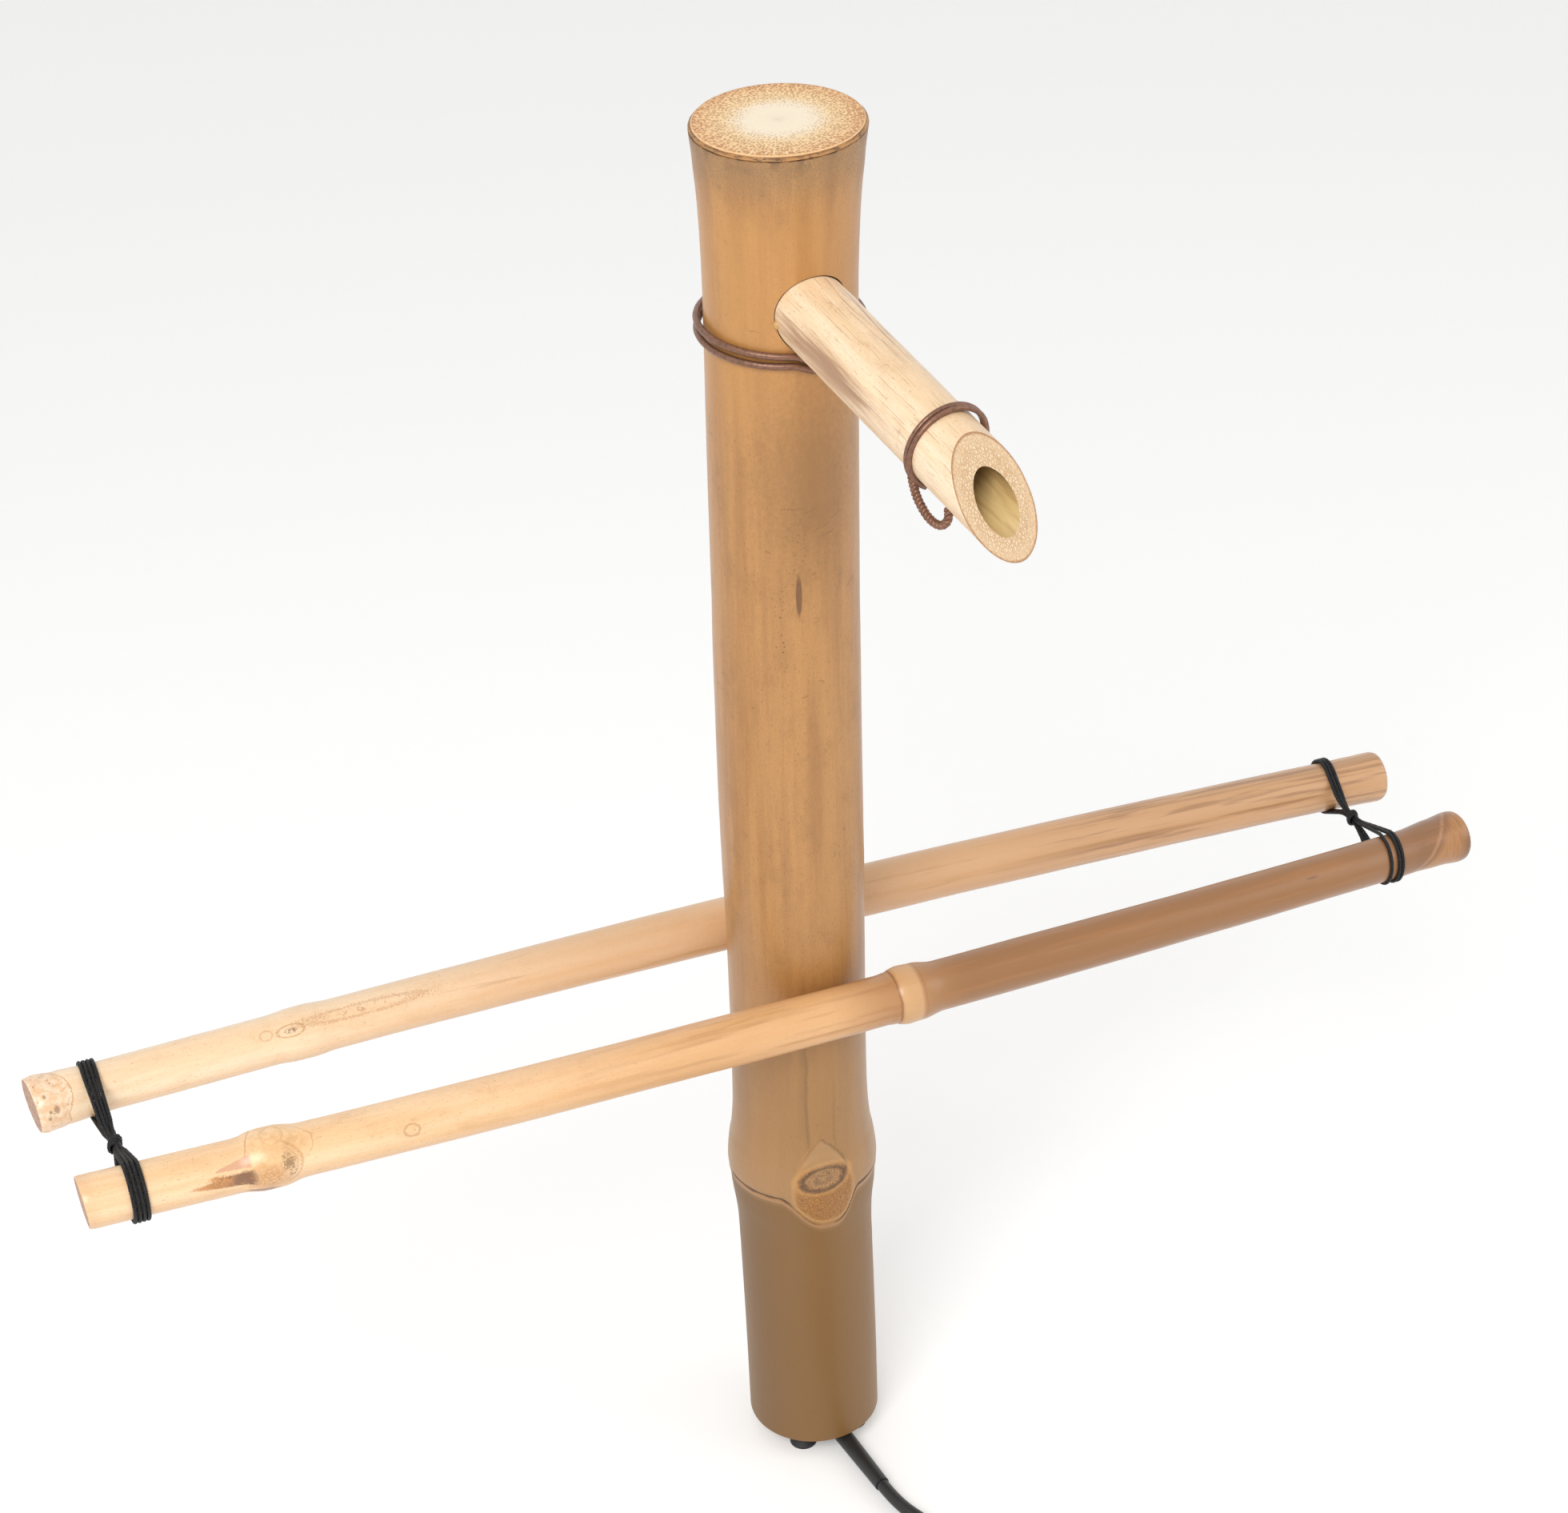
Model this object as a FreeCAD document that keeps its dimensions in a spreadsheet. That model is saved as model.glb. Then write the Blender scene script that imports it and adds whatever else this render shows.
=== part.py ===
import FreeCAD, Part
import math
import os
import re

import Sketcher

# Bamboo water spout for a garden tub: a tall hollow post with a short slanted spout, two poles tied
# across it that rest on the tub's rim, and a small submersible pump that stands inside the post's foot.
# Sizes are in millimetres and degrees. Z is up, the origin is on the floor under the post's axis,
# the poles run along X and the spout leaves towards -Y, turned a little to +X.

SIZES = (
    ("base_gap", 9.5, "floor to the post's lower rim, which the pump's feet hold clear"),
    ("post_height", 610, "post, lower rim to the top cut's highest edge: 24 inches"),
    ("post_radius", 28.9, "outside of the post between its nodes"),
    ("post_wall", 9.9, "natural wall of the post"),
    ("flare_out", 3.0, "how far the top node's flare stands out"),
    ("flare_below_top", 3, "top cut's highest edge down to the widest point of the flare"),
    ("flare_run", 57, "length over which the post swells to the flare"),
    ("top_cut_tilt", 7, "slope of the top cut, degrees"),
    ("top_cut_turn", 24, "turn of the slope's low side from the front to the left, degrees"),
    ("top_disc", 14, "top cut's highest edge down to the bore, which the top node closes"),
    ("node_height", 144.5, "lower rim to the middle of the lower node"),
    ("node_out", 2.4, "how far the lower node stands out"),
    ("node_run", 20, "half of the lower node's length"),
    ("diaphragm", 5, "wood across the bore at the lower node"),
    ("spout_below_top", 62.3, "top cut's highest edge down to where the spout's axis meets the post's"),
    ("spout_turn", 7.35, "turn of the spout about the post, degrees"),
    ("spout_fall", 13.0, "slope of the spout, degrees"),
    ("spout_reach", 150.2, "post's axis to the middle of the slanted cut"),
    ("spout_root_radius", 14.5, "spout at the post"),
    ("spout_taper", 0.6, "how much smaller the spout's radius is at its cut"),
    ("spout_cut_tilt", 54, "tilt of the cut from square, degrees"),
    ("spout_blank", 195, "length that the spout is turned to before its cut"),
    ("spout_inside", 1.0, "how far the spout's inner end stays off the post's bore"),
    ("spout_gap", 0.2, "clearance of the spout in its hole"),
    ("glue_radius", 1.5, "drop of glue beside the spout's root"),
    ("glue_drop_down", 2.6, "how far the drop lies under the spout's axis"),
    ("spigot_radius", 4.4, "outside of the pump's outlet"),
    ("spigot_bore", 3.0, "radius of the outlet's bore"),
    ("tube_fit", 0.1, "clearance of the tube on the outlet"),
    ("tube_wall", 1.5, "wall of the water tube"),
    ("tube_bend", 16, "radius of the tube's bend at the spout"),
    ("tube_in_spout", 34, "length of tube inside the spout"),
    ("tube_room", 0.5, "clearance of the tube in bores and holes"),
    ("tube_foot", 3, "pump's top to the lower end of the tube"),
    ("tube_seat_past", 2, "how far the tube's seat in the spout runs past the tube"),
    ("tube_seat_room", 0.2, "clearance of the tube in its seat"),
    ("bore_drop", 1.0, "how far the spout's bore lies under its middle"),
    ("rest_height", 242.4, "floor to the tub rim that carries the poles"),
    ("arm_gap", 0.3, "clearance between the post and each pole"),
    ("rear_left_reach", 315.3, "post's axis to the rear pole's left end"),
    ("rear_right_reach", 303.2, "post's axis to the rear pole's right end"),
    ("rear_left_radius", 10.3, "rear pole near its left end"),
    ("rear_mid_radius", 11.4, "rear pole behind the post"),
    ("rear_right_radius", 11.2, "rear pole near its right end"),
    ("rear_left_draw", 7.2, "how far the left tie bends the rear pole in"),
    ("rear_right_draw", 10.5, "how far the right tie bends the rear pole in"),
    ("front_left_short", 8, "how much nearer to the post the front pole's left end is"),
    ("front_right_past", 2.7, "how much farther from the post the front pole's right end is"),
    ("front_left_radius", 10.6, "front pole near its left end"),
    ("front_mid_radius", 10.7, "front pole before the post"),
    ("front_right_radius", 9.9, "front pole near its right end"),
    ("front_left_draw", 4.4, "how far the left tie bends the front pole in"),
    ("front_right_draw", 9.5, "how far the right tie bends the front pole in"),
    ("rear_node_out", 0.7, "how far the rear pole's nodes stand out"),
    ("front_node_out", 1.4, "how far the front pole's nodes stand out"),
    ("rear_left_end_out", 1.4, "how far the node at the rear pole's left end stands out"),
    ("rear_right_end_out", 0.4, "how far the node at the rear pole's right end stands out"),
    ("front_right_end_out", 1.7, "how far the node at the front pole's right end stands out"),
    ("rear_node_from_end", 110.3, "left end of the rear pole to its first node"),
    ("front_node_from_end", 71.3, "left end of the front pole to its first node"),
    ("front_node_from_post", 33, "post's axis to the front pole's middle node"),
    ("node_slimming", 0.1, "how much the poles' radius differs at their nodes from the nearest given one"),
    ("pole_node_flat", 3, "half of the full swelling at a pole's node"),
    ("pole_node_run", 13, "middle of a pole's node to where its swelling ends"),
    ("end_node_middle", 3, "pole's end to the widest ring of its end node"),
    ("end_node_half", 13, "pole's end to where its end node's swelling has halved"),
    ("end_node_run", 28, "pole's end to where its end node's swelling ends"),
    ("end_round", 0.4, "how far a pole's end is worn in"),
    ("saw_round", 0.2, "how far the edge of the front pole's saw cut is worn in"),
    ("saw_round_run", 2, "length of that worn edge"),
    ("string_radius", 0.85, "waxed string of the ties"),
    ("string_gap", 0.3, "clearance between string and pole"),
    ("string_pitch", 2.25, "step from loop to loop of a tie"),
    ("waist_half", 1.3, "half of the height between the strands at a tie's waist"),
    ("waist_bend", 30, "radius of the strands at the waist"),
    ("cinch_gap", 0.65, "clearance of the wraps on the strands that they hold"),
    ("left_tie_inset", 24.3, "rear pole's left end to the left tie"),
    ("right_tie_inset", 32.9, "front pole's right end to the right tie"),
    ("left_tie_loops", 4, "loops of the left tie"),
    ("right_tie_loops", 3, "loops of the right tie"),
    ("left_cinch_loops", 4, "wraps at the left tie's waist"),
    ("right_cinch_loops", 3, "wraps at the right tie's waist"),
    ("left_tie_skew", -0.04, "sideways run of the left tie per mm towards the rear"),
    ("right_tie_skew", 0.18, "sideways run of the right tie per mm towards the rear"),
    ("post_wire_radius", 1.15, "wire round the post"),
    ("post_wire_rise", 6, "rise of the wire ring from its middle to the back"),
    ("post_wire_pitch", 2.9, "step of the wire round the post"),
    ("spout_wire_radius", 1.0, "wire round the spout"),
    ("spout_wire_slack", 1.2, "how far the spout's wire ring hangs loose"),
    ("spout_wire_pitch", 2.6, "step of the wire round the spout"),
    ("spout_wire_inset", 36.5, "middle of the cut back to the spout's wire"),
    ("spout_wire_start", 240, "angle round the spout where its wire starts, degrees"),
    ("wire_tail_radius", 1.45, "twisted tail of the spout's wire"),
    ("wire_gap", 0.3, "clearance of the wires"),
    ("pump_width", 34, "square body of the pump"),
    ("pump_height", 38, "height of the pump's body"),
    ("pump_corner", 7, "rounding of the pump's upright edges"),
    ("pump_room", 2.3, "clearance of the pump's corners in the post's foot"),
    ("pump_turn", 6, "turn of the pump about the post's axis, degrees"),
    ("seat_gap", 0.3, "clearance over the pump, which carries the post"),
    ("rotor_height", 21, "pump's underside to the rotor's axis"),
    ("seal_thick", 2, "plate that closes the motor's side"),
    ("shell_step", 0.5, "ledge that the motor's plate lies on"),
    ("cover_thick", 4, "plate that closes the impeller's side"),
    ("intake_depth", 7, "depth of the intake cover"),
    ("skin", 1.5, "wall of the pump's shells"),
    ("outlet_seat", 3.4, "depth of the outlet's seat in the pump"),
    ("outlet_ledge", 0.6, "ledge round the outlet's seat"),
    ("inlet_radius", 2.4, "one of the four inlet holes"),
    ("inlet_ring", 7, "rotor's axis to the inlet holes"),
    ("chamber_radius", 12.5, "impeller chamber"),
    ("chamber_depth", 10, "length of the impeller chamber"),
    ("well_radius", 7.2, "rotor well"),
    ("well_wall", 1.0, "wall of the rotor well"),
    ("rotor_gap", 0.6, "clearance round the rotor"),
    ("shaft_radius", 1.0, "ceramic shaft"),
    ("shaft_fit", 0.05, "running clearance on the shaft"),
    ("bush_radius", 3.0, "rubber bushes of the shaft"),
    ("bush_length", 2.0, "length of a bush"),
    ("vane_radius", 10.8, "tips of the impeller's vanes"),
    ("vane_thick", 1.3, "thickness of a vane"),
    ("vane_count", 6, "vanes of the impeller"),
    ("hub_radius", 3.5, "hub of the impeller"),
    ("coil_bulk", 2.6, "wire on each side of the stator's yoke"),
    ("coil_margin", 1.6, "rotor well's side to the winding's end"),
    ("leg_width", 5.4, "each leg of the stator's core"),
    ("leg_rise", 6, "rotor's axis to the tops of the legs"),
    ("yoke_height", 3.6, "stator's yoke"),
    ("fit", 0.2, "clearance between pieces of the pump"),
    ("overcut", 1, "how far a cutting tool runs past the face that it opens"),
    ("shell_margin", 2.5, "thicker sides of the intake cover"),
    ("slot_width", 2.0, "slots of the intake cover"),
    ("slot_pitch", 4.0, "step from slot to slot"),
    ("slot_height", 22, "length of a slot"),
    ("slot_count", 5, "slots of the intake cover"),
    ("gate_thick", 1.2, "flow gate behind the slots"),
    ("gate_height", 10, "height of the flow gate"),
    ("gate_rise", 7, "lower ends of the slots to the gate's tab"),
    ("gate_tab", 1.6, "how far the gate's tab stands out of its slot"),
    ("nozzle_flange", 8, "radius of the outlet's flange"),
    ("flange_thick", 2, "outlet's flange"),
    ("nozzle_length", 18.5, "outlet above the pump"),
    ("nozzle_lead_in", 1.5, "tapered tip of the outlet"),
    ("cup_radius", 6.2, "suction foot on the floor"),
    ("cup_spread", 13, "pump's middle to each foot, both ways"),
    ("cup_neck", 3.0, "neck of a foot"),
    ("cup_lip", 3.0, "flat ring that a foot stands on"),
    ("cup_hollow", 1.0, "depth of a foot's hollow"),
    ("stud_radius", 2.0, "stud of a foot in the pump"),
    ("stud_length", 1.1, "how far the stud reaches into the pump"),
    ("stud_room", 0.1, "clearance of the stud"),
    ("cord_radius", 2.95, "mains lead"),
    ("relief_offset", 2.0, "lead's outlet to the side of the pump's middle"),
    ("relief_height", 4.7, "floor to the middle of the lead's outlet"),
    ("relief_radius", 4.2, "thick end of the strain relief"),
    ("relief_end_radius", 3.4, "thin end of the strain relief"),
    ("relief_start", 12, "pump's middle to the strain relief"),
    ("relief_length", 48, "length of the strain relief"),
    ("boss_half", 4.6, "half the width of the boss that the lead leaves"),
    ("boss_start", 2, "pump's middle to the boss"),
    ("boss_low", 0.6, "floor to the boss"),
    ("coil_x", -8, "middle of the put-away coil"),
    ("coil_y", -150, "middle of the put-away coil"),
    ("coil_radius", 46.4, "outermost turn of the coil"),
    ("coil_pitch", 6.4, "step from turn to turn and layer to layer"),
    ("coil_in_half_turns", 7, "half turns of the lower layer"),
    ("coil_out_half_turns", 6, "half turns of the upper layer"),
    ("band_thick", 0.8, "band that ties the coil"),
    ("band_gap", 0.3, "clearance of the band round the coil"),
    ("floor_gap", 0.05, "floor to the band"),
    ("band_width", 5, "width of that band"),
    ("plug_width", 24, "mains plug's body"),
    ("plug_depth", 21.6, "height of the plug as it lies"),
    ("plug_length", 26, "length of the plug's body"),
    ("plug_corner", 5, "rounding of the plug's long edges"),
    ("neck_length", 14, "plug's tapered neck"),
    ("neck_radius", 6.5, "thick end of the plug's neck"),
    ("neck_step", 0.9, "how far the neck's thin end stands out round the lead"),
    ("neck_root", 1, "how far the neck runs into the plug's body"),
    ("plug_floor_gap", 0.2, "floor to the plug"),
    ("blade_rise", 3.2, "lead's middle to the blades' middle"),
    ("blade_gap", 12.7, "distance between the plug's two blades"),
    ("blade_length", 17.5, "length of a blade"),
    ("blade_width", 6.4, "height of a blade"),
    ("blade_thick", 1.5, "thickness of a blade"),
    ("earth_radius", 2.4, "round earth pin"),
    ("earth_drop", 11.2, "blades to the earth pin"),
    ("earth_length", 20, "length of the earth pin"),
)

doc = FreeCAD.newDocument("BambooSpout")
sheet = doc.addObject("Spreadsheet::Sheet", "Sizes")
for row, (alias, number, meaning) in enumerate(SIZES, start=1):
    sheet.set(f"A{row}", meaning)
    sheet.set(f"B{row}", str(number))
    sheet.setAlias(f"B{row}", alias)

# Places that follow from the sizes
PLACES = (
    ("post_top", "base_gap + post_height"),
    ("flare_radius", "post_radius + flare_out"),
    ("bore_radius", "post_radius - post_wall"),
    ("foot_radius", "(pump_width / 2 - pump_corner) * 1.41422 + pump_corner + pump_room"),
    ("pump_top", "base_gap + pump_height"),
    ("shoulder", "pump_top + seat_gap"),
    ("node_middle", "base_gap + node_height"),
    ("spout_height", "post_top - spout_below_top"),
    ("tube_bore", "spigot_radius + tube_fit"),
    ("tube_radius", "tube_bore + tube_wall"),
    ("spout_bore", "tube_radius + bore_drop + tube_room"),
    ("spout_start", "bore_radius + spout_inside"),
    ("tube_seat_end", "spout_start + tube_in_spout + tube_seat_past"),
    ("front_left_reach", "rear_left_reach - front_left_short"),
    ("front_right_reach", "rear_right_reach + front_right_past"),
    ("rotor_axis", "base_gap + rotor_height"),
    ("half_pump", "pump_width / 2"),
    ("cover_back", "half_pump - intake_depth"),
    ("joint", "cover_back - cover_thick"),
    ("chamber_back", "joint - chamber_depth"),
    ("cavity_end", "chamber_back - skin"),
    ("cavity_start", "seal_thick - half_pump"),
    ("well_outside", "well_radius + well_wall"),
    ("well_end", "cavity_start + skin"),
    ("lower_wall", "base_gap + skin + shell_step"),
    ("yoke_low", "lower_wall + coil_bulk + fit"),
    ("slots_low", "rotor_axis - slot_height / 2"),
    ("coil_low", "cord_radius + band_gap + band_thick + floor_gap"),
)
for row, (alias, formula) in enumerate(PLACES, start=len(SIZES) + 1):
    sheet.set(f"A{row}", f"worked out: {formula}")
    sheet.set(f"B{row}", f"={formula}")
    sheet.setAlias(f"B{row}", alias)
doc.recompute()

NAMES = {alias for alias, _, _ in SIZES} | {alias for alias, _ in PLACES}
KEPT = {}
X_AXIS = "0; 90; 0"
Y_AXIS = "0; 0; -90"
Z_AXIS = "0; 0; 0"


def sized(text):
    """An expression on the sheet, from one on the sizes' bare names."""
    return re.sub(r"[a-z_]+", lambda m: f"Sizes.{m[0]}" if m[0] in NAMES else m[0], str(text))


def size(text):
    """The number that an expression on the sizes gives."""
    return float(sheet.evalExpression(sized(text)))


def placed(place, turn):
    """The expression of a placement, from 'x; y; z' and 'yaw; pitch; roll'."""
    spot = f"create(<<vector>>; {sized(place)})"
    rotation = f"create(<<rotation>>; {sized(turn)})"
    return f"create(<<placement>>; {spot}; {rotation})"


def put(piece, place, turn=Z_AXIS):
    """Binds a piece's place and turn."""
    piece.setExpression("Placement", placed(place, turn))
    return piece


def solid(kind, name, place, turn, **sizes):
    """A bound primitive."""
    piece = doc.addObject(f"Part::{kind}", name)
    for key, text in sizes.items():
        piece.setExpression(key, sized(text))
    return put(piece, place, turn)


def rod(name, radius, length, place, turn=Z_AXIS):
    return solid("Cylinder", name, place, turn, Radius=radius, Height=length)


def block(name, xs, ys, zs):
    """A box between two expressions on each axis."""
    spans = [f"({high}) - ({low})" for low, high in (xs, ys, zs)]
    place = f"{xs[0]}; {ys[0]}; {zs[0]}"
    return solid("Box", name, place, Z_AXIS, Length=spans[0], Width=spans[1], Height=spans[2])


def fuse(name, *pieces):
    joined = doc.addObject("Part::MultiFuse", name)
    joined.Shapes = list(pieces)
    return joined


def cut(name, base, *tools):
    result = doc.addObject("Part::Cut", name)
    result.Base = base
    result.Tool = tools[0] if len(tools) == 1 else fuse(f"{name}_tools", *tools)
    return result


def common(name, base, tool):
    result = doc.addObject("Part::Common", name)
    result.Base = base
    result.Tool = tool
    return result


def keep(node, piece):
    """Names a finished sub-part."""
    piece.Label = node
    KEPT[node] = piece
    return piece


def lathe(name, outline, arcs=None):
    """A body turned about its Z axis. The outline is (radius, height) expressions, all named sizes.

    arcs gives, for the corner that a side starts from, the expressions of the arc's radius and of
    how far it bows out, negative for a hollow.
    """
    arcs = arcs or {}
    body = doc.addObject("PartDesign::Body", name)
    sketch = body.newObject("Sketcher::SketchObject", f"{name}_outline")
    plane = next(o for o in body.Origin.OriginFeatures if o.Role == "XZ_Plane")
    sketch.AttachmentSupport = [(plane, "")]
    sketch.MapMode = "FlatFace"
    corners = [FreeCAD.Vector(size(r), size(z), 0) for r, z in outline]
    ends = {}
    for side, start in enumerate(corners):
        stop = corners[(side + 1) % len(corners)]
        ends[side] = (1, 2)
        if side not in arcs:
            sketch.addGeometry(Part.LineSegment(start, stop), False)
            continue
        radius, bow = (size(text) for text in arcs[side])
        run = stop - start
        outward = FreeCAD.Vector(run.y, -run.x, 0).normalize() * math.copysign(1, bow)
        middle = (start + stop) * 0.5 + outward * (abs(bow) - radius)
        circle = Part.Circle(middle, FreeCAD.Vector(0, 0, 1), radius)
        angles = [math.atan2(p.y - middle.y, p.x - middle.x) for p in (start, stop)]
        if bow < 0:
            # An arc is kept counterclockwise, so a hollow one is stored end first.
            ends[side] = (2, 1)
            angles.reverse()
        if angles[1] < angles[0]:
            angles[1] += 2 * math.pi
        sketch.addGeometry(Part.ArcOfCircle(circle, *angles), False)
    count = len(corners)
    for side in range(count):
        follower = (side + 1) % count
        link = Sketcher.Constraint("Coincident", side, ends[side][1], follower, ends[follower][0])
        sketch.addConstraint(link)
    for side, (radius, height) in enumerate(outline):
        for kind, axis, text in (("DistanceX", -2, radius), ("DistanceY", -1, height)):
            if str(text) == "0":
                on_axis = Sketcher.Constraint("PointOnObject", side, ends[side][0], axis)
                sketch.addConstraint(on_axis)
                continue
            dimension = Sketcher.Constraint(kind, -1, 1, side, ends[side][0], size(text))
            index = sketch.addConstraint(dimension)
            sketch.setExpression(f"Constraints[{index}]", sized(text))
    for side, (radius, _) in arcs.items():
        index = sketch.addConstraint(Sketcher.Constraint("Radius", side, size(radius)))
        sketch.setExpression(f"Constraints[{index}]", sized(radius))
    turned = body.newObject("PartDesign::Revolution", f"{name}_turned")
    turned.Profile = sketch
    turned.ReferenceAxis = (sketch, ["V_Axis"])
    turned.Angle = 360
    return body


def vector(x, y, z):
    return FreeCAD.Vector(x, y, z)


def arc_between(start, corner, stop):
    """The edge that leaves start towards corner and arrives at stop from it, both legs being equal."""
    middle = (start + stop) * 0.5
    half = (stop - start).Length / 2
    height = (corner - middle).Length
    if height < 1e-6 * half:
        return Part.LineSegment(start, stop).toShape()
    turn = math.atan2(height, half)
    through = middle + (corner - middle) * (half * math.tan(turn / 2) / height)
    return Part.Arc(start, through, stop).toShape()


def biarc(start, leaving, stop, arriving):
    """Two tangent arcs from one point and direction to the next."""
    span = stop - start
    total = leaving + arriving
    bend = 2 * (1 - leaving.dot(arriving))
    along = span.dot(total)
    if bend < 1e-9:
        leg = span.dot(span) / (2 * along)
    else:
        leg = (math.sqrt(along * along + bend * span.dot(span)) - along) / bend
    first = start + leaving * leg
    second = stop - arriving * leg
    joint = (first + second) * 0.5
    return [arc_between(start, first, joint), arc_between(joint, second, stop)]


def wound(stations):
    """Edges through (point, direction) stations."""
    edges = []
    for (start, leaving), (stop, arriving) in zip(stations, stations[1:]):
        edges += biarc(start, leaving, stop, arriving)
    return edges


def routed(name, points):
    """Straight runs joined by tangent arcs as large as their runs allow."""
    edges = []
    here = points[0]
    smallest = math.inf
    for before, corner, after in zip(points, points[1:], points[2:]):
        run_in = corner - before
        run_out = after - corner
        shorter = min(run_in.Length, run_out.Length)
        turn = run_in.getAngle(run_out)
        leg = 0.45 * shorter
        smallest = min(smallest, leg / math.tan(turn / 2))
        start = corner - run_in.normalize() * leg
        stop = corner + run_out.normalize() * leg
        edges.append(Part.LineSegment(here, start).toShape())
        edges.append(arc_between(start, corner, stop))
        here = stop
    edges.append(Part.LineSegment(here, points[-1]).toShape())
    print(f"{name}: smallest radius {smallest:.1f} mm")
    return edges


def tube(name, edges, radius):
    """One unbroken round tube along edges, its volume compared with section times length."""
    path = Part.Wire(edges)
    first = edges[0]
    start = first.valueAt(first.FirstParameter)
    heading = first.tangentAt(first.FirstParameter)
    ring = Part.Wire([Part.makeCircle(radius, start, heading)])
    swept = path.makePipeShell([ring], True, False)
    share = swept.Volume / (math.pi * radius**2 * path.Length)
    print(f"{name}: length {path.Length:.1f} mm, volume over section times length {share:.4f}")
    piece = doc.addObject("Part::Feature", name)
    piece.Shape = swept
    return piece


def print_least_gap(name, edges, radius, step=1.5):
    """Prints how near a wound tube comes to itself, from points along its middle line."""
    path = Part.Wire(edges)
    count = int(path.Length / step)
    points = path.discretize(Number=count)
    apart = int(math.ceil(6 * radius / step))
    nearest = math.inf
    for index, point in enumerate(points):
        for other in points[index + apart:]:
            nearest = min(nearest, point.distanceToPoint(other))
    print(f"{name}: least gap to itself {nearest - 2 * radius:.2f} mm")


# Post

post_outline = (
    ("0", "base_gap"),
    ("post_radius", "base_gap"),
    ("post_radius", "node_middle - node_run"),
    ("post_radius", "node_middle + node_run"),
    ("post_radius", "post_top - flare_below_top - flare_run"),
    ("flare_radius", "post_top - flare_below_top"),
    ("flare_radius", "post_top + overcut"),
    ("0", "post_top + overcut"),
)
post_arcs = {
    2: ("(node_run ^ 2 + node_out ^ 2) / (2 * node_out)", "node_out"),
    4: ("(flare_run ^ 2 + flare_out ^ 2) / (2 * flare_out)", "-flare_out / 4"),
}
culm = lathe("culm", post_outline, post_arcs)
foot_room = rod("foot_room", "foot_radius", "shoulder - base_gap + overcut", "0; 0; base_gap - overcut")
lower_bore = rod(
    "lower_bore",
    "bore_radius",
    "node_middle - diaphragm / 2 - shoulder + overcut",
    "0; 0; shoulder - overcut",
)
upper_bore = rod(
    "upper_bore",
    "bore_radius",
    "post_top - top_disc - node_middle - diaphragm / 2",
    "0; 0; node_middle + diaphragm / 2",
)
tube_hole = rod(
    "tube_hole",
    "tube_radius + tube_room",
    "diaphragm + 2 * overcut",
    "0; 0; node_middle - diaphragm / 2 - overcut",
)
SPOUT_TURN = "spout_turn; 0; 90 + spout_fall"
SPOUT_PLACE = "0; 0; spout_height"
top_cut = rod(
    "top_cut",
    "3 * post_radius",
    "post_radius",
    "flare_radius * sin(top_cut_turn); flare_radius * cos(top_cut_turn); post_top",
    "-top_cut_turn; 0; top_cut_tilt",
)
spout_hole = rod(
    "spout_hole",
    "spout_root_radius + spout_gap",
    "post_radius + spout_root_radius",
    SPOUT_PLACE,
    SPOUT_TURN,
)
keep("post", cut("post_body", culm, top_cut, foot_room, lower_bore, upper_bore, tube_hole, spout_hole))

# Spout, made along its own axis with its upper side towards Y: a seat drilled for the water tube,
# then the wider natural bore up to the slanted cut

spout_body = solid(
    "Cone",
    "spout_body",
    "0; 0; spout_start",
    Z_AXIS,
    Radius1="spout_root_radius",
    Radius2="spout_root_radius - spout_taper * (spout_blank - spout_start) / (spout_reach - spout_start)",
    Height="spout_blank - spout_start",
)
tube_seat = rod(
    "tube_seat",
    "tube_radius + tube_seat_room",
    "tube_seat_end - spout_start + 2 * overcut",
    "0; 0; spout_start - overcut",
)
spout_bore = rod("spout_bore_tool", "spout_bore", "spout_blank", "0; -bore_drop; tube_seat_end")
spout_cut = rod(
    "spout_cut", "spout_blank", "spout_blank", "0; 0; spout_reach", "0; 0; -spout_cut_tilt"
)
spout = cut("spout_made", spout_body, tube_seat, spout_bore, spout_cut)
keep("spout", put(spout, SPOUT_PLACE, SPOUT_TURN))

spout_frame = FreeCAD.Placement(
    vector(0, 0, size("spout_height")),
    FreeCAD.Rotation(size("spout_turn"), 0, 90 + size("spout_fall")),
)


def on_spout(across, up, along):
    """A point given across, above and along the spout's axis."""
    return spout_frame.multVec(vector(across, up, along))


def spout_radius(along):
    start = size("spout_start")
    share = (along - start) / (size("spout_reach") - start)
    return size("spout_root_radius") - size("spout_taper") * share


def glue_drop():
    """The drop sits where the spout's left side leaves the post."""
    side = size("spout_root_radius")
    along = math.sqrt(size("post_radius") ** 2 - side**2)
    middle = on_spout(-side, -size("glue_drop_down"), along)
    flat = math.hypot(middle.x, middle.y)
    middle.x *= size("post_radius") / flat
    middle.y *= size("post_radius") / flat
    drop = doc.addObject("Part::Sphere", "glue_ball")
    drop.setExpression("Radius", sized("glue_radius"))
    drop.Placement.Base = middle
    wood = rod("glue_wood", "post_radius", "post_height", "0; 0; base_gap")
    stub = rod(
        "glue_stub", "spout_root_radius + spout_gap", "spout_reach", SPOUT_PLACE, SPOUT_TURN
    )
    return cut("glue_made", drop, wood, stub)


keep("glue_bead", glue_drop())

# Water tube, from the pump's outlet up the bore and round into the spout


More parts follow.
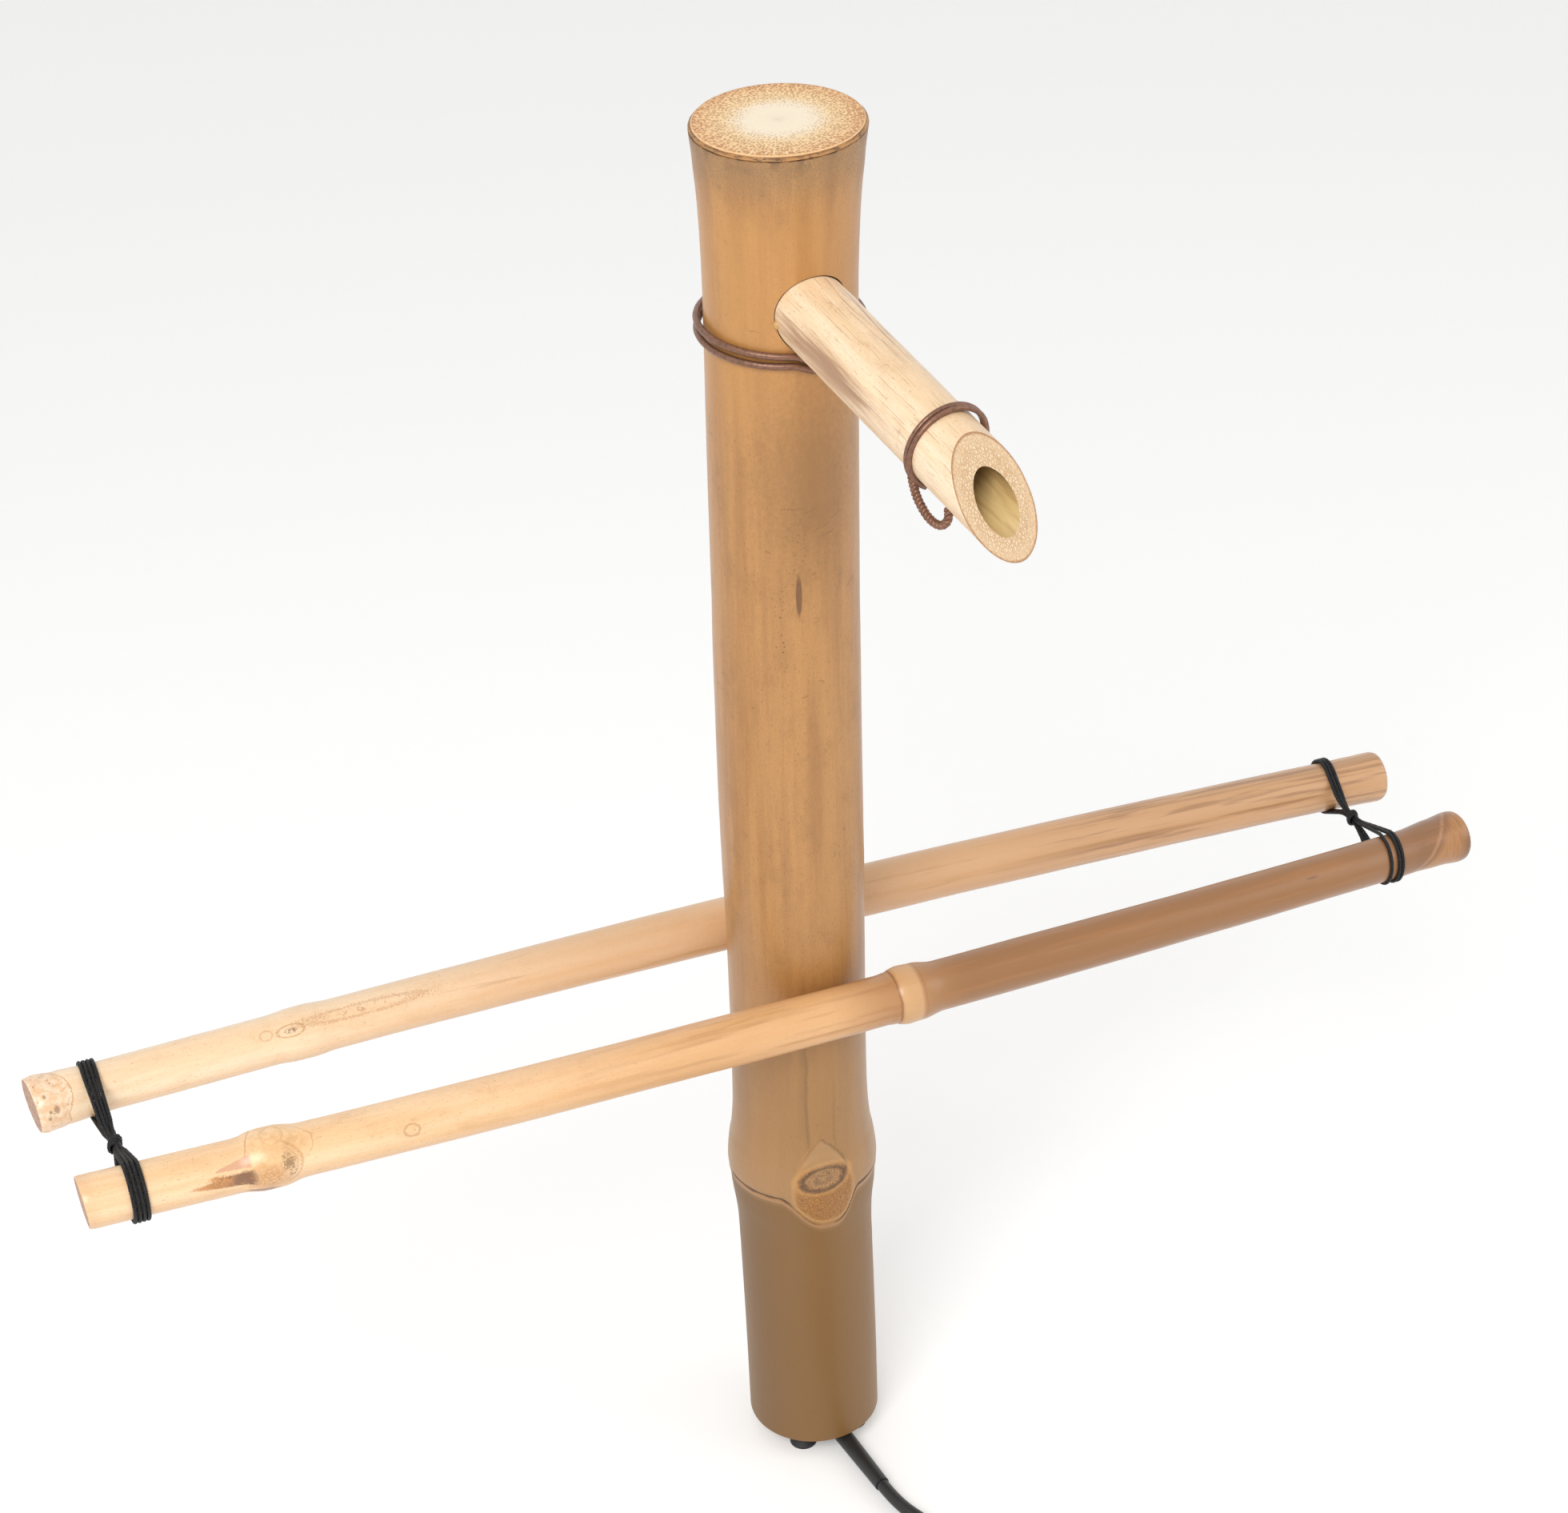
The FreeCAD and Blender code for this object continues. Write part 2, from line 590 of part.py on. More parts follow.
def water_tube():
    bend = size("tube_bend")
    turn = math.radians(90 + size("spout_fall"))
    leg = bend * math.tan(turn / 2)
    foot = vector(0, 0, size("pump_top + tube_foot"))
    bend_start = vector(0, 0, size("spout_height") - leg)
    corner = vector(0, 0, size("spout_height"))
    bend_stop = on_spout(0, 0, leg)
    end = on_spout(0, 0, size("spout_start + tube_in_spout"))
    edges = [
        Part.LineSegment(foot, bend_start).toShape(),
        arc_between(bend_start, corner, bend_stop),
        Part.LineSegment(bend_stop, end).toShape(),
    ]
    outside = tube("tube_outside", edges, size("tube_radius"))
    inside = tube("tube_inside", edges, size("tube_bore"))
    return cut("tube_made", outside, inside)


keep("water_tube", water_tube())

# Poles: each is a loft through rings on a line that the ties draw in towards the post


POLE_NODES = {
    "rear": [("-rear_left_reach + rear_node_from_end", "rear_left_radius + node_slimming")],
    "front": [
        ("-front_left_reach + front_node_from_end", "front_left_radius"),
        ("front_node_from_post", "front_mid_radius - node_slimming"),
    ],
}


def pole_line(side, name):
    """The pole's middle line as two functions of x, its place across and its slope."""
    left = size(f"{name}_left_reach")
    right = size(f"{name}_right_reach")
    draw_left = size(f"{name}_left_draw")
    draw_right = size(f"{name}_right_draw")
    curve = -(draw_left / left + draw_right / right) / (left + right)
    tilt = draw_left / left + curve * left
    middle = size(f"post_radius + arm_gap + {name}_mid_radius")

    def across(x):
        return side * (middle + tilt * x + curve * x * x)

    def slope(x):
        return side * (tilt + 2 * curve * x)

    return across, slope


def end_node(end, inwards, radius, swell):
    """Stations of a pole's end that is cut in a node."""
    return [
        (end, f"{radius} + {swell} - end_round"),
        (f"{end} + ({inwards}) * end_node_middle", f"{radius} + {swell}"),
        (f"{end} + ({inwards}) * end_node_half", f"{radius} + {swell} / 2"),
        (f"{end} + ({inwards}) * end_node_run", radius),
    ]


def pole_stations(name):
    """(x, radius) expressions from end to end, with a swelling at each node."""
    left = f"{name}_left_radius"
    right = f"{name}_right_radius"
    swell = f"{name}_node_out"
    left_end = f"-{name}_left_reach"
    stations = [("0", f"{name}_mid_radius")]
    stations += end_node(f"{name}_right_reach", -1, right, f"{name}_right_end_out")
    if name == "rear":
        stations += end_node(left_end, 1, left, "rear_left_end_out")
    else:
        stations += [(left_end, f"{left} - saw_round"), (f"{left_end} + saw_round_run", left)]
    for place, radius in POLE_NODES[name]:
        stations += [
            (f"{place} - pole_node_run", radius),
            (f"{place} - pole_node_flat", f"{radius} + {swell}"),
            (f"{place} + pole_node_flat", f"{radius} + {swell}"),
            (f"{place} + pole_node_run", radius),
        ]
    return sorted(stations, key=lambda station: size(station[0]))


def pole(name, side):
    across, slope = pole_line(side, name)
    loft = doc.addObject("Part::Loft", f"{name}_loft")
    rings = []
    for x_text, radius in pole_stations(name):
        x = size(x_text)
        ring = doc.addObject("Part::Circle", f"{name}_ring")
        ring.setExpression("Radius", sized(radius))
        ring.Placement = FreeCAD.Placement(
            vector(x, across(x), size(f"rest_height + {name}_mid_radius")),
            FreeCAD.Rotation(math.degrees(math.atan(slope(x))), 90, 0),
        )
        rings.append(ring)
    loft.Sections = rings
    loft.Solid = True
    loft.Ruled = True
    return loft


keep("rear_pole", pole("rear", 1))
keep("front_pole", pole("front", -1))

# Ties: loops round both poles, drawn in at the waist, and the wraps that hold the waist


def pole_radius_near(name, x, reach):
    """The pole's largest radius within reach of x."""
    stations = [(size(a), size(b)) for a, b in pole_stations(name)]
    largest = 0
    for place in (x - reach, x, x + reach):
        for (x0, r0), (x1, r1) in zip(stations, stations[1:]):
            if x0 <= place <= x1:
                largest = max(largest, r0 + (r1 - r0) * (place - x0) / (x1 - x0))
    return largest


def waist_height():
    return size("rest_height") + (size("rear_mid_radius") + size("front_mid_radius")) / 2


def tie_loops(middle_x, skew, loops):
    """Stations of the tie's loops, seen along X as a bone shape round the two poles."""
    string = size("string_radius")
    pitch = size("string_pitch")
    bend = size("waist_bend")
    low = waist_height()
    waist_top = size("waist_half")
    reach = loops * pitch / 2 + string
    poles = []
    for name, side in (("rear", 1), ("front", -1)):
        across, _ = pole_line(side, name)
        y_guess = across(middle_x)
        x = middle_x + skew * y_guess
        wrap = pole_radius_near(name, x, reach) + size("string_gap") + string
        height = size(f"rest_height + {name}_mid_radius") - low
        poles.append((abs(across(x)), height, wrap, side))
    loop = []
    for distance, height, wrap, side in poles:
        top = tangent_angle(distance, height, waist_top + bend, wrap, bend)
        under = tangent_angle(distance, -height, waist_top + bend, wrap, bend)
        loop.append((distance, height, wrap, side, top, under))
    outline = []
    rear, front = loop
    outline.append((0, waist_top, 1, 0))
    outline += half_bone(rear, waist_top, bend)
    outline.append((0, -waist_top, -1, 0))
    outline += half_bone(front, waist_top, bend)
    stations = []
    travelled = [0]
    for before, after in zip(outline, outline[1:] + outline[:1]):
        travelled.append(travelled[-1] + math.hypot(after[0] - before[0], after[1] - before[1]))
    length = travelled[-1]
    for turn in range(loops):
        for (y, z, ty, tz), way in zip(outline, travelled):
            x = middle_x + (turn - loops / 2 + way / length) * pitch + skew * y
            heading = vector(pitch / length + skew * ty, ty, tz)
            stations.append((vector(x, y, low + z), heading.normalize()))
    last = vector(middle_x + loops / 2 * pitch, 0, low + waist_top)
    stations.append((last, vector(pitch / length + skew, 1, 0).normalize()))
    return stations


def tangent_angle(distance, height, bend_height, wrap, bend):
    """Angle, at the pole's middle, of the point where a strand leaves it for the waist."""
    dy = -distance
    dz = bend_height - height
    reach = math.hypot(dy, dz)
    return math.atan2(dz, dy) - math.acos((wrap + bend) / reach)


def half_bone(pole_data, waist_top, bend):
    """Outline points (y, z, heading) from the waist round one pole and back."""
    distance, height, wrap, side, top, under = pole_data
    points = []
    first, last = (top, under) if side > 0 else (under, top)
    sign = 1 if side > 0 else -1
    entry = (
        -bend * math.cos(first),
        waist_top + bend - bend * math.sin(first),
        math.sin(first),
        -math.cos(first),
    )
    points.append(bone_point(entry, side, sign))
    middle_height = height if side > 0 else -height
    steps = 4
    sweep = first + last
    for step in range(steps + 1):
        angle = first - sweep * step / steps
        spot = (
            distance + wrap * math.cos(angle),
            middle_height + wrap * math.sin(angle),
            math.sin(angle),
            -math.cos(angle),
        )
        points.append(bone_point(spot, side, sign))
    leave = (
        -bend * math.cos(last),
        -(waist_top + bend - bend * math.sin(last)),
        -math.sin(last),
        -math.cos(last),
    )
    points.append(bone_point(leave, side, sign))
    return points


def bone_point(spot, side, sign):
    """The rear half as it is, or turned half way round for the front pole."""
    y, z, ty, tz = spot
    return (side * y, sign * z, side * ty, sign * tz)


def cinch_stations(middle_x, skew, loops, around):
    """Wraps round the waist's strands, as a flat oval that climbs along Y."""
    string = size("string_radius")
    pitch = size("string_pitch")
    half_height = size("waist_half") + 2 * string + size("cinch_gap")
    half_width = around * pitch / 2 + string
    low = waist_height()
    corners = (
        (-half_width, half_height, 1, 0),
        (half_width, half_height, 1, 0),
        (half_width + half_height, 0, 0, -1),
        (half_width, -half_height, -1, 0),
        (-half_width, -half_height, -1, 0),
        (-half_width - half_height, 0, 0, 1),
    )
    length = 4 * half_width + 2 * math.pi * half_height
    quarter = math.pi / 2 * half_height
    ways = (0, 2 * half_width, 2 * half_width + quarter, 2 * half_width + 2 * quarter)
    ways += (4 * half_width + 2 * quarter, 4 * half_width + 3 * quarter)
    stations = []
    for turn in range(loops + 1):
        for (x, z, tx, tz), way in zip(corners, ways):
            y = (turn - loops / 2 + way / length) * pitch
            heading = vector(tx, pitch / length, tz)
            stations.append((vector(middle_x + x + skew * y, y, low + z), heading.normalize()))
            if turn == loops:
                return stations
    return stations


def tie(side_name, middle_x):
    loops = int(round(size(f"{side_name}_tie_loops")))
    wraps = int(round(size(f"{side_name}_cinch_loops")))
    skew = size(f"{side_name}_tie_skew")
    string = size("string_radius")
    loop_edges = wound(tie_loops(middle_x, skew, loops))
    print_least_gap(f"{side_name}_tie", loop_edges, string)
    keep(f"{side_name}_tie", tube(f"{side_name}_tie_tube", loop_edges, string))
    wrap_edges = wound(cinch_stations(middle_x, skew, wraps, loops))
    print_least_gap(f"{side_name}_tie_cinch", wrap_edges, string)
    keep(f"{side_name}_tie_cinch", tube(f"{side_name}_cinch_tube", wrap_edges, string))


tie("left", -size("rear_left_reach - left_tie_inset"))
tie("right", size("front_right_reach - right_tie_inset"))

# Wires

TURNS = 2


def post_wire_stations():
    """Two tilted turns that pass close under the spout and stand higher at the back."""
    wire = size("post_wire_radius")
    radius = size("post_radius + wire_gap") + wire
    fall = math.radians(size("spout_fall"))
    under = size("spout_height - spout_root_radius / cos(spout_fall)") - radius * math.tan(fall)
    pitch = size("post_wire_pitch")
    lift = size("post_wire_rise")
    spare = 1.05
    front = under - size("wire_gap") - wire - pitch / 2 * spare
    aim = math.radians(size("spout_turn"))
    stations = []
    for quarter in range(4 * TURNS + 1):
        angle = math.pi * (quarter / 2 - TURNS)
        turn = angle + math.pi * TURNS
        rise = pitch * (turn / (2 * math.pi) - TURNS / 2)
        place = vector(
            radius * math.sin(angle + math.pi + aim),
            -radius * math.cos(angle + math.pi + aim),
            front + lift * (1 + math.cos(angle)) + rise,
        )
        heading = vector(
            radius * math.cos(angle + math.pi + aim),
            radius * math.sin(angle + math.pi + aim),
            -lift * math.sin(angle) + pitch / (2 * math.pi),
        )
        stations.append((place, heading.normalize()))
    return stations


def spout_wire_stations(start_angle):
    """Two turns round the spout that hang a little loose below it."""
    wire = size("spout_wire_radius")
    along = size("spout_reach - spout_wire_inset")
    slack = size("spout_wire_slack")
    radius = spout_radius(along) + size("wire_gap") + wire + slack
    pitch = size("spout_wire_pitch")
    stations = []
    for quarter in range(4 * TURNS + 1):
        turn = math.pi / 2 * quarter
        angle = start_angle + turn
        spot = on_spout(
            radius * math.cos(angle),
            radius * math.sin(angle) - slack,
            along + pitch * (turn / (2 * math.pi) - TURNS / 2),
        )
        ahead = on_spout(-radius * math.sin(angle), radius * math.cos(angle), pitch / (2 * math.pi))
        heading = ahead - on_spout(0, 0, 0)
        stations.append((spot, heading.normalize()))
    return stations


post_wire = wound(post_wire_stations())
print_least_gap("post_wire", post_wire, size("post_wire_radius"))
keep("post_wire", tube("post_wire_tube", post_wire, size("post_wire_radius")))

spout_wire = wound(spout_wire_stations(math.radians(size("spout_wire_start"))))
print_least_gap("spout_wire", spout_wire, size("spout_wire_radius"))
keep("spout_wire", tube("spout_wire_tube", spout_wire, size("spout_wire_radius")))


def wire_tail():
    """The twisted ends hang from the ring and curl back under the spout."""
    along = size("spout_reach - spout_wire_inset")
    radius = spout_radius(along) + size("wire_gap + spout_wire_radius + spout_wire_slack")
    low = -radius - size("spout_wire_slack")
    offsets = (
        (-9.4, -0.2, -0.6),
        (-8.7, -2.7, 2.4),
        (-7.2, -4.8, 7.6),
        (-6.0, -4.6, 14.0),
        (-5.0, -1.2, 18.6),
        (-4.4, 1.8, 20.4),
    )
    points = [on_spout(across, low + up, along + ahead) for across, up, ahead in offsets]
    return tube("wire_tail_tube", routed("spout_wire_tail", points), size("wire_tail_radius"))


keep("spout_wire_tail", wire_tail())

# Pump shells, made square to the axes and then turned about the post's axis with put


def turned(node, piece):
    """Keeps a piece of the pump, with the place it has turned about the post's axis."""
    own = dict(piece.ExpressionEngine).get("Placement")
    whole = placed("0; 0; 0", "pump_turn; 0; 0")
    piece.setExpression("Placement", f"{whole} * ({own})" if own else whole)
    return keep(node, piece)


def rounded_prism(name, half, corner, low, high):
    """An upright block with rounded upright edges."""
    inner = f"{half} - {corner}"
    pieces = [
        block(f"{name}_long", (f"-({inner})", inner), (f"-({half})", half), (low, high)),
        block(f"{name}_wide", (f"-({half})", half), (f"-({inner})", inner), (low, high)),
    ]
    for index, (sx, sy) in enumerate(((1, 1), (1, -1), (-1, 1), (-1, -1))):
        place = f"{sx} * ({inner}); {sy} * ({inner}); {low}"
        pieces.append(rod(f"{name}_corner_{index}", corner, f"({high}) - ({low})", place))
    return fuse(name, *pieces)


def along_y(name, radius, start, stop, x="0", z="rotor_axis"):
    return rod(name, radius, f"({stop}) - ({start})", f"{x}; {start}; {z}", Y_AXIS)


WIDE = ("-pump_width", "pump_width")
TALL = ("-base_gap", "pump_top + base_gap")
CUPS = ((1, 1), (1, -1), (-1, 1), (-1, -1))
envelope = rounded_prism("pump_envelope", "half_pump", "pump_corner", "base_gap", "pump_top")


def stud_holes(name, side):
    """Holes for the studs of the two feet on one side of the pump."""
    return [
        rod(
            f"{name}_stud_{n}",
            "stud_radius + stud_room",
            "stud_length + stud_room",
            f"{sx} * cup_spread; {sy} * cup_spread; base_gap",
        )
        for n, (sx, sy) in enumerate(CUPS)
        if sy == side
    ]


def pump_housing():
    slab = block("housing_slab", WIDE, ("-pump_width", "joint"), TALL)
    shell = common("housing_shell", envelope, slab)
    cavity = block(
        "stator_cavity",
        ("skin + shell_step - half_pump", "half_pump - skin - shell_step"),
        ("-pump_width", "cavity_end"),
        ("lower_wall", "rotor_axis + chamber_radius"),
    )
    seal_step = block(
        "seal_step",
        ("skin - half_pump", "half_pump - skin"),
        ("-pump_width", "cavity_start"),
        ("base_gap + skin", "pump_top - skin"),
    )
    chamber = along_y("volute_chamber", "chamber_radius", "chamber_back", "joint + overcut")
    outlet = rod("outlet_hole", "spigot_bore", "pump_height", "0; 0; rotor_axis + hub_radius")
    seat = rod(
        "nozzle_seat", "spigot_radius + outlet_ledge", "pump_height", "0; 0; pump_top - outlet_seat"
    )
    hollow = cut(
        "housing_hollow", shell, cavity, seal_step, chamber, outlet, seat, *stud_holes("housing", -1)
    )
    well = along_y("well_outside_rod", "well_outside", "cavity_start", "chamber_back")
    boss = block(
        "lead_boss",
        ("relief_offset - boss_half", "relief_offset + boss_half"),
        ("-relief_start", "-boss_start"),
        ("boss_low", "base_gap + shell_step"),
    )
    joined = fuse("housing_joined", hollow, well, boss)
    bore = along_y("well_bore", "well_radius", "well_end", "joint")
    return cut("housing_made", joined, bore)


turned("pump_housing", pump_housing())

seal = block(
    "seal_made",
    ("skin - half_pump + fit", "half_pump - skin - fit"),
    ("-half_pump + fit", "cavity_start"),
    ("base_gap + skin + fit", "pump_top - skin - fit"),
)
turned("motor_seal_plate", seal)


def volute_cover():
    slab = block("cover_slab", WIDE, ("joint", "cover_back"), TALL)
    plate = common("cover_plate", envelope, slab)
    pocket = along_y("bush_pocket", "bush_radius", "joint", "joint + bush_length")
    shaft_end = along_y("shaft_pocket", "shaft_radius + shaft_fit", "joint", "cover_back - skin / 2")
    through = ("joint - overcut", "cover_back + overcut")
    inlets = []
    for index in range(4):
        angle = f"({45 + 90 * index})"
        x = f"inlet_ring * cos({angle})"
        z = f"rotor_axis + inlet_ring * sin({angle})"
        inlets.append(along_y(f"inlet_{index}", "inlet_radius", *through, x, z))
    return cut("cover_made", plate, pocket, shaft_end, *inlets, *stud_holes("cover", 1))


turned("volute_cover", volute_cover())


def intake_cover():
    slab = block("intake_slab", WIDE, ("cover_back", "pump_width"), TALL)
    shell = common("intake_shell", envelope, slab)
    plenum = block(
        "plenum",
        ("-half_pump + skin + shell_margin", "half_pump - skin - shell_margin"),
        ("cover_back - overcut", "half_pump - skin"),
        ("base_gap + 2 * skin", "pump_top - 2 * skin"),
    )
    slots = []
    for index in range(int(round(size("slot_count")))):
        middle = f"({index} - (slot_count - 1) / 2) * slot_pitch"
        slots.append(
            block(
                f"slot_{index}",
                (f"{middle} - slot_width / 2", f"{middle} + slot_width / 2"),
                ("half_pump - skin - overcut", "half_pump + overcut"),
                ("slots_low", "slots_low + slot_height"),
            )
        )
    return cut("intake_made", shell, plenum, *slots, *stud_holes("intake", 1))


turned("intake_cover", intake_cover())


def flow_gate():
    """A plate behind the slots with a tab through the middle one."""
    face = "half_pump - skin - fit"
    low = "slots_low + gate_rise"
    plate = block(
        "gate_plate",
        ("-slot_pitch * 1.5 - slot_width", "slot_pitch * 1.5 + slot_width"),
        (f"{face} - gate_thick", face),
        (f"{low} - gate_height / 4", f"{low} + gate_height * 3 / 4"),
    )
    tab = block(
        "gate_tab_block",
        ("-slot_width / 2 + fit", "slot_width / 2 - fit"),
        (f"{face} - gate_thick", "half_pump + gate_tab"),
        (low, f"{low} + gate_height / 2"),
    )
    return fuse("gate_made", plate, tab)


turned("flow_gate", flow_gate())

# Motor

ROTOR_START = "well_end + bush_length + fit"
ROTOR_END = "chamber_back - fit"


def stator_core():
    """An iron U whose legs stand on both sides of the rotor well."""
    inner = "(well_outside + fit)"
    outer = "(well_outside + leg_width)"
    iron = block(
        "core_block",
        (f"-{outer}", outer),
        ("cavity_start + fit", "cavity_end - fit"),
        ("yoke_low", "rotor_axis + leg_rise"),
    )
    room = along_y("core_room", inner, "-pump_width", "0")
    mouth = block(
        "core_mouth",
        (f"-{inner}", inner),
        ("-pump_width", "0"),
        ("yoke_low + yoke_height", "pump_top"),
    )
    return cut("core_made", iron, room, mouth)


def stator_coil():
    """Enamelled wire under the yoke, below the rotor well."""
    half = "(well_outside - coil_margin)"
    return block(
        "coil_block",
        (f"-{half}", half),
        ("cavity_start + fit", "cavity_end - fit"),
        ("lower_wall", "yoke_low"),
    )


turned("stator_core", stator_core())
turned("stator_coil", stator_coil())

magnet = along_y("magnet_rod", "well_radius - rotor_gap", ROTOR_START, ROTOR_END)
magnet_bore = along_y("magnet_bore", "shaft_radius + shaft_fit", "-pump_width", "pump_width")
turned("rotor_magnet", cut("magnet_made", magnet, magnet_bore))


def impeller():
    start = ROTOR_END
    stop = "joint - rotor_gap"
    hub = along_y("impeller_hub", "hub_radius", start, stop)
    pieces = [hub]
    for index in range(int(round(size("vane_count")))):
        vane = doc.addObject("Part::Box", f"vane_{index}")
        vane.setExpression("Length", sized("vane_radius"))
        vane.setExpression("Width", sized("joint - 2 * rotor_gap - chamber_back - rotor_gap"))
        vane.setExpression("Height", sized("vane_thick"))
        angle = f"{index} * 360 / vane_count"
        place = (
            f"-sin({angle}) * vane_thick / 2; chamber_back + rotor_gap;"
            f" rotor_axis - cos({angle}) * vane_thick / 2"
        )
        pieces.append(put(vane, place, f"0; {angle}; 0"))
    bore = along_y("impeller_bore", "shaft_radius + shaft_fit", "-pump_width", "pump_width")
    return cut("impeller_made", fuse("impeller_wheel", *pieces), bore)


turned("impeller", impeller())

shaft = along_y("shaft_rod", "shaft_radius", "well_end + fit", "cover_back - skin / 2 - fit")
turned("impeller_shaft", shaft)


def bushes():
    bore = along_y("bush_bore", "shaft_radius + shaft_fit", "-pump_width", "pump_width")
    rear = along_y("bush_rear", "bush_radius", "well_end", "well_end + bush_length")
    front = along_y("bush_front", "bush_radius", "joint", "joint + bush_length")
    return cut("bushes_made", fuse("bush_pair", rear, front), bore)


turned("shaft_bushes", bushes())

nozzle = lathe(
    "nozzle",
    (
        ("spigot_bore", "pump_top - outlet_seat"),
        ("spigot_radius + outlet_ledge", "pump_top - outlet_seat"),
        ("spigot_radius + outlet_ledge", "pump_top"),
        ("nozzle_flange", "pump_top"),
        ("nozzle_flange", "pump_top + flange_thick"),
        ("spigot_radius", "pump_top + flange_thick"),
        ("spigot_radius", "pump_top + nozzle_length - nozzle_lead_in"),
        ("spigot_radius - outlet_ledge", "pump_top + nozzle_length"),
        ("spigot_bore", "pump_top + nozzle_length"),
    ),
)
turned("outlet_nozzle", nozzle)


def suction_foot(index, sx, sy):
    cup = lathe(
        f"cup_{index}",
        (
            ("0", "cup_hollow"),
            ("cup_radius - cup_lip", "0"),
            ("cup_radius", "0"),
            ("cup_radius", "cup_hollow"),
            ("cup_neck", "base_gap / 2"),
            ("cup_neck", "base_gap"),
            ("stud_radius", "base_gap"),
            ("stud_radius", "base_gap + stud_length"),
            ("0", "base_gap + stud_length"),
        ),
    )
    x = f"cup_spread * ({sx} * cos(pump_turn) - {sy} * sin(pump_turn))"
    y = f"cup_spread * ({sx} * sin(pump_turn) + {sy} * cos(pump_turn))"
    return keep(f"suction_foot_{index}", put(cup, f"{x}; {y}; 0"))


for number, (side_x, side_y) in enumerate(CUPS, start=1):
    suction_foot(number, side_x, side_y)

# Mains lead


relief = solid(
    "Cone",
    "relief_cone",
    "relief_offset; -relief_start; relief_height",
    "0; 0; 90",
    Radius1="relief_radius",
    Radius2="relief_end_radius",
    Height="relief_length",
)
turned("strain_relief", relief)

turn_of_pump = math.radians(size("pump_turn"))
lead_heading = vector(math.sin(turn_of_pump), -math.cos(turn_of_pump), 0)
lead_exit = vector(
    size("relief_offset") * math.cos(turn_of_pump),
    size("relief_offset") * math.sin(turn_of_pump),
    size("relief_height"),
) + lead_heading * size("relief_start + relief_length")

coil_start = vector(size("coil_x + coil_radius"), size("coil_y"), size("coil_low"))
STRAIGHT = vector(0, -2 * size("cord_radius"), 0)
lead_points = (
    lead_exit,
    lead_exit + lead_heading * 12,
    vector(15.4, -84.0, 3.3),
    vector(23.8, -98.5, 3.0),
    vector(32.0, -113.5, 3.2),
    vector(coil_start.x, -129.0, coil_start.z),
    coil_start - STRAIGHT,
)
lead_edges = routed("mains_lead", lead_points)
keep("mains_lead", tube("mains_lead_tube", lead_edges, size("cord_radius")))


def coil_edges():
    """Half turns that spiral in, climb a layer and spiral out again above."""
    step = size("coil_pitch") / 2
    inward = int(round(size("coil_in_half_turns")))
    outward = int(round(size("coil_out_half_turns")))
    radii = [size("coil_radius") - step * index for index in range(inward + 1)]
    radii += [radii[-1] + step * (index + 1) for index in range(outward)]
    x = coil_start.x
    y = coil_start.y
    z = coil_start.z
    edges = [Part.LineSegment(coil_start - STRAIGHT, coil_start).toShape()]
    for index, radius in enumerate(radii):
        way = -1 if index % 2 == 0 else 1
        rise = size("coil_pitch") if index == inward else 0
        start = vector(x, y, z)
        turn_point = vector(x + way * radius, y + way * radius, z + rise / 2)
        stop = vector(x + way * 2 * radius, y, z + rise)
        leaving = vector(0, way, 0)
        across = vector(way * math.pi * radius / 2, 0, rise / 2).normalize()
        edges += biarc(start, leaving, turn_point, across)
        edges += biarc(turn_point, across, stop, vector(0, -way, 0))
        x = stop.x
        z = stop.z
    end = vector(x, y, z)
    last = 1 if len(radii) % 2 == 0 else -1
    edges.append(Part.LineSegment(end, end + STRAIGHT * last).toShape())
    return edges, end + STRAIGHT * last


coil_path, coil_end = coil_edges()
print_least_gap("lead_coil", coil_path, size("cord_radius"), 4)
keep("lead_coil", tube("lead_coil_tube", coil_path, size("cord_radius")))


def coil_band():
    """The band goes round all the turns on the coil's far side from where the lead comes in."""
    slack = "(cord_radius + band_gap)"
    xs = (
        f"coil_x - coil_radius - {slack}",
        f"coil_x - coil_radius + coil_pitch / 2 * (coil_in_half_turns - 1) + {slack}",
    )
    zs = (f"coil_low - {slack}", f"coil_low + coil_pitch + {slack}")
    outside = block(
        "band_outside",
        (f"{xs[0]} - band_thick", f"{xs[1]} + band_thick"),
        ("coil_y - band_width / 2", "coil_y + band_width / 2"),
        (f"{zs[0]} - band_thick", f"{zs[1]} + band_thick"),
    )
    inside = block("band_inside", xs, ("coil_y - band_width", "coil_y + band_width"), zs)
    return cut("band_made", outside, inside)


keep("coil_band", coil_band())

plug_height = size("plug_depth / 2 + plug_floor_gap")
tail_points = (
    coil_end,
    vector(coil_end.x, coil_end.y - 13, coil_end.z),
    vector(coil_end.x + 1.0, coil_end.y - 29, plug_height),
    vector(coil_end.x + 1.0, coil_end.y - 44, plug_height),
)
keep("plug_lead", tube("plug_lead_tube", routed("plug_lead", tail_points), size("cord_radius")))


PLUG_X = str(tail_points[-1].x)
PLUG_Y = f"({tail_points[-1].y})"
PLUG_Z = "(plug_depth / 2 + plug_floor_gap)"
PLUG_FACE = f"({PLUG_Y} - neck_length - plug_length)"
BLADES_Z = f"({PLUG_Z} + blade_rise)"


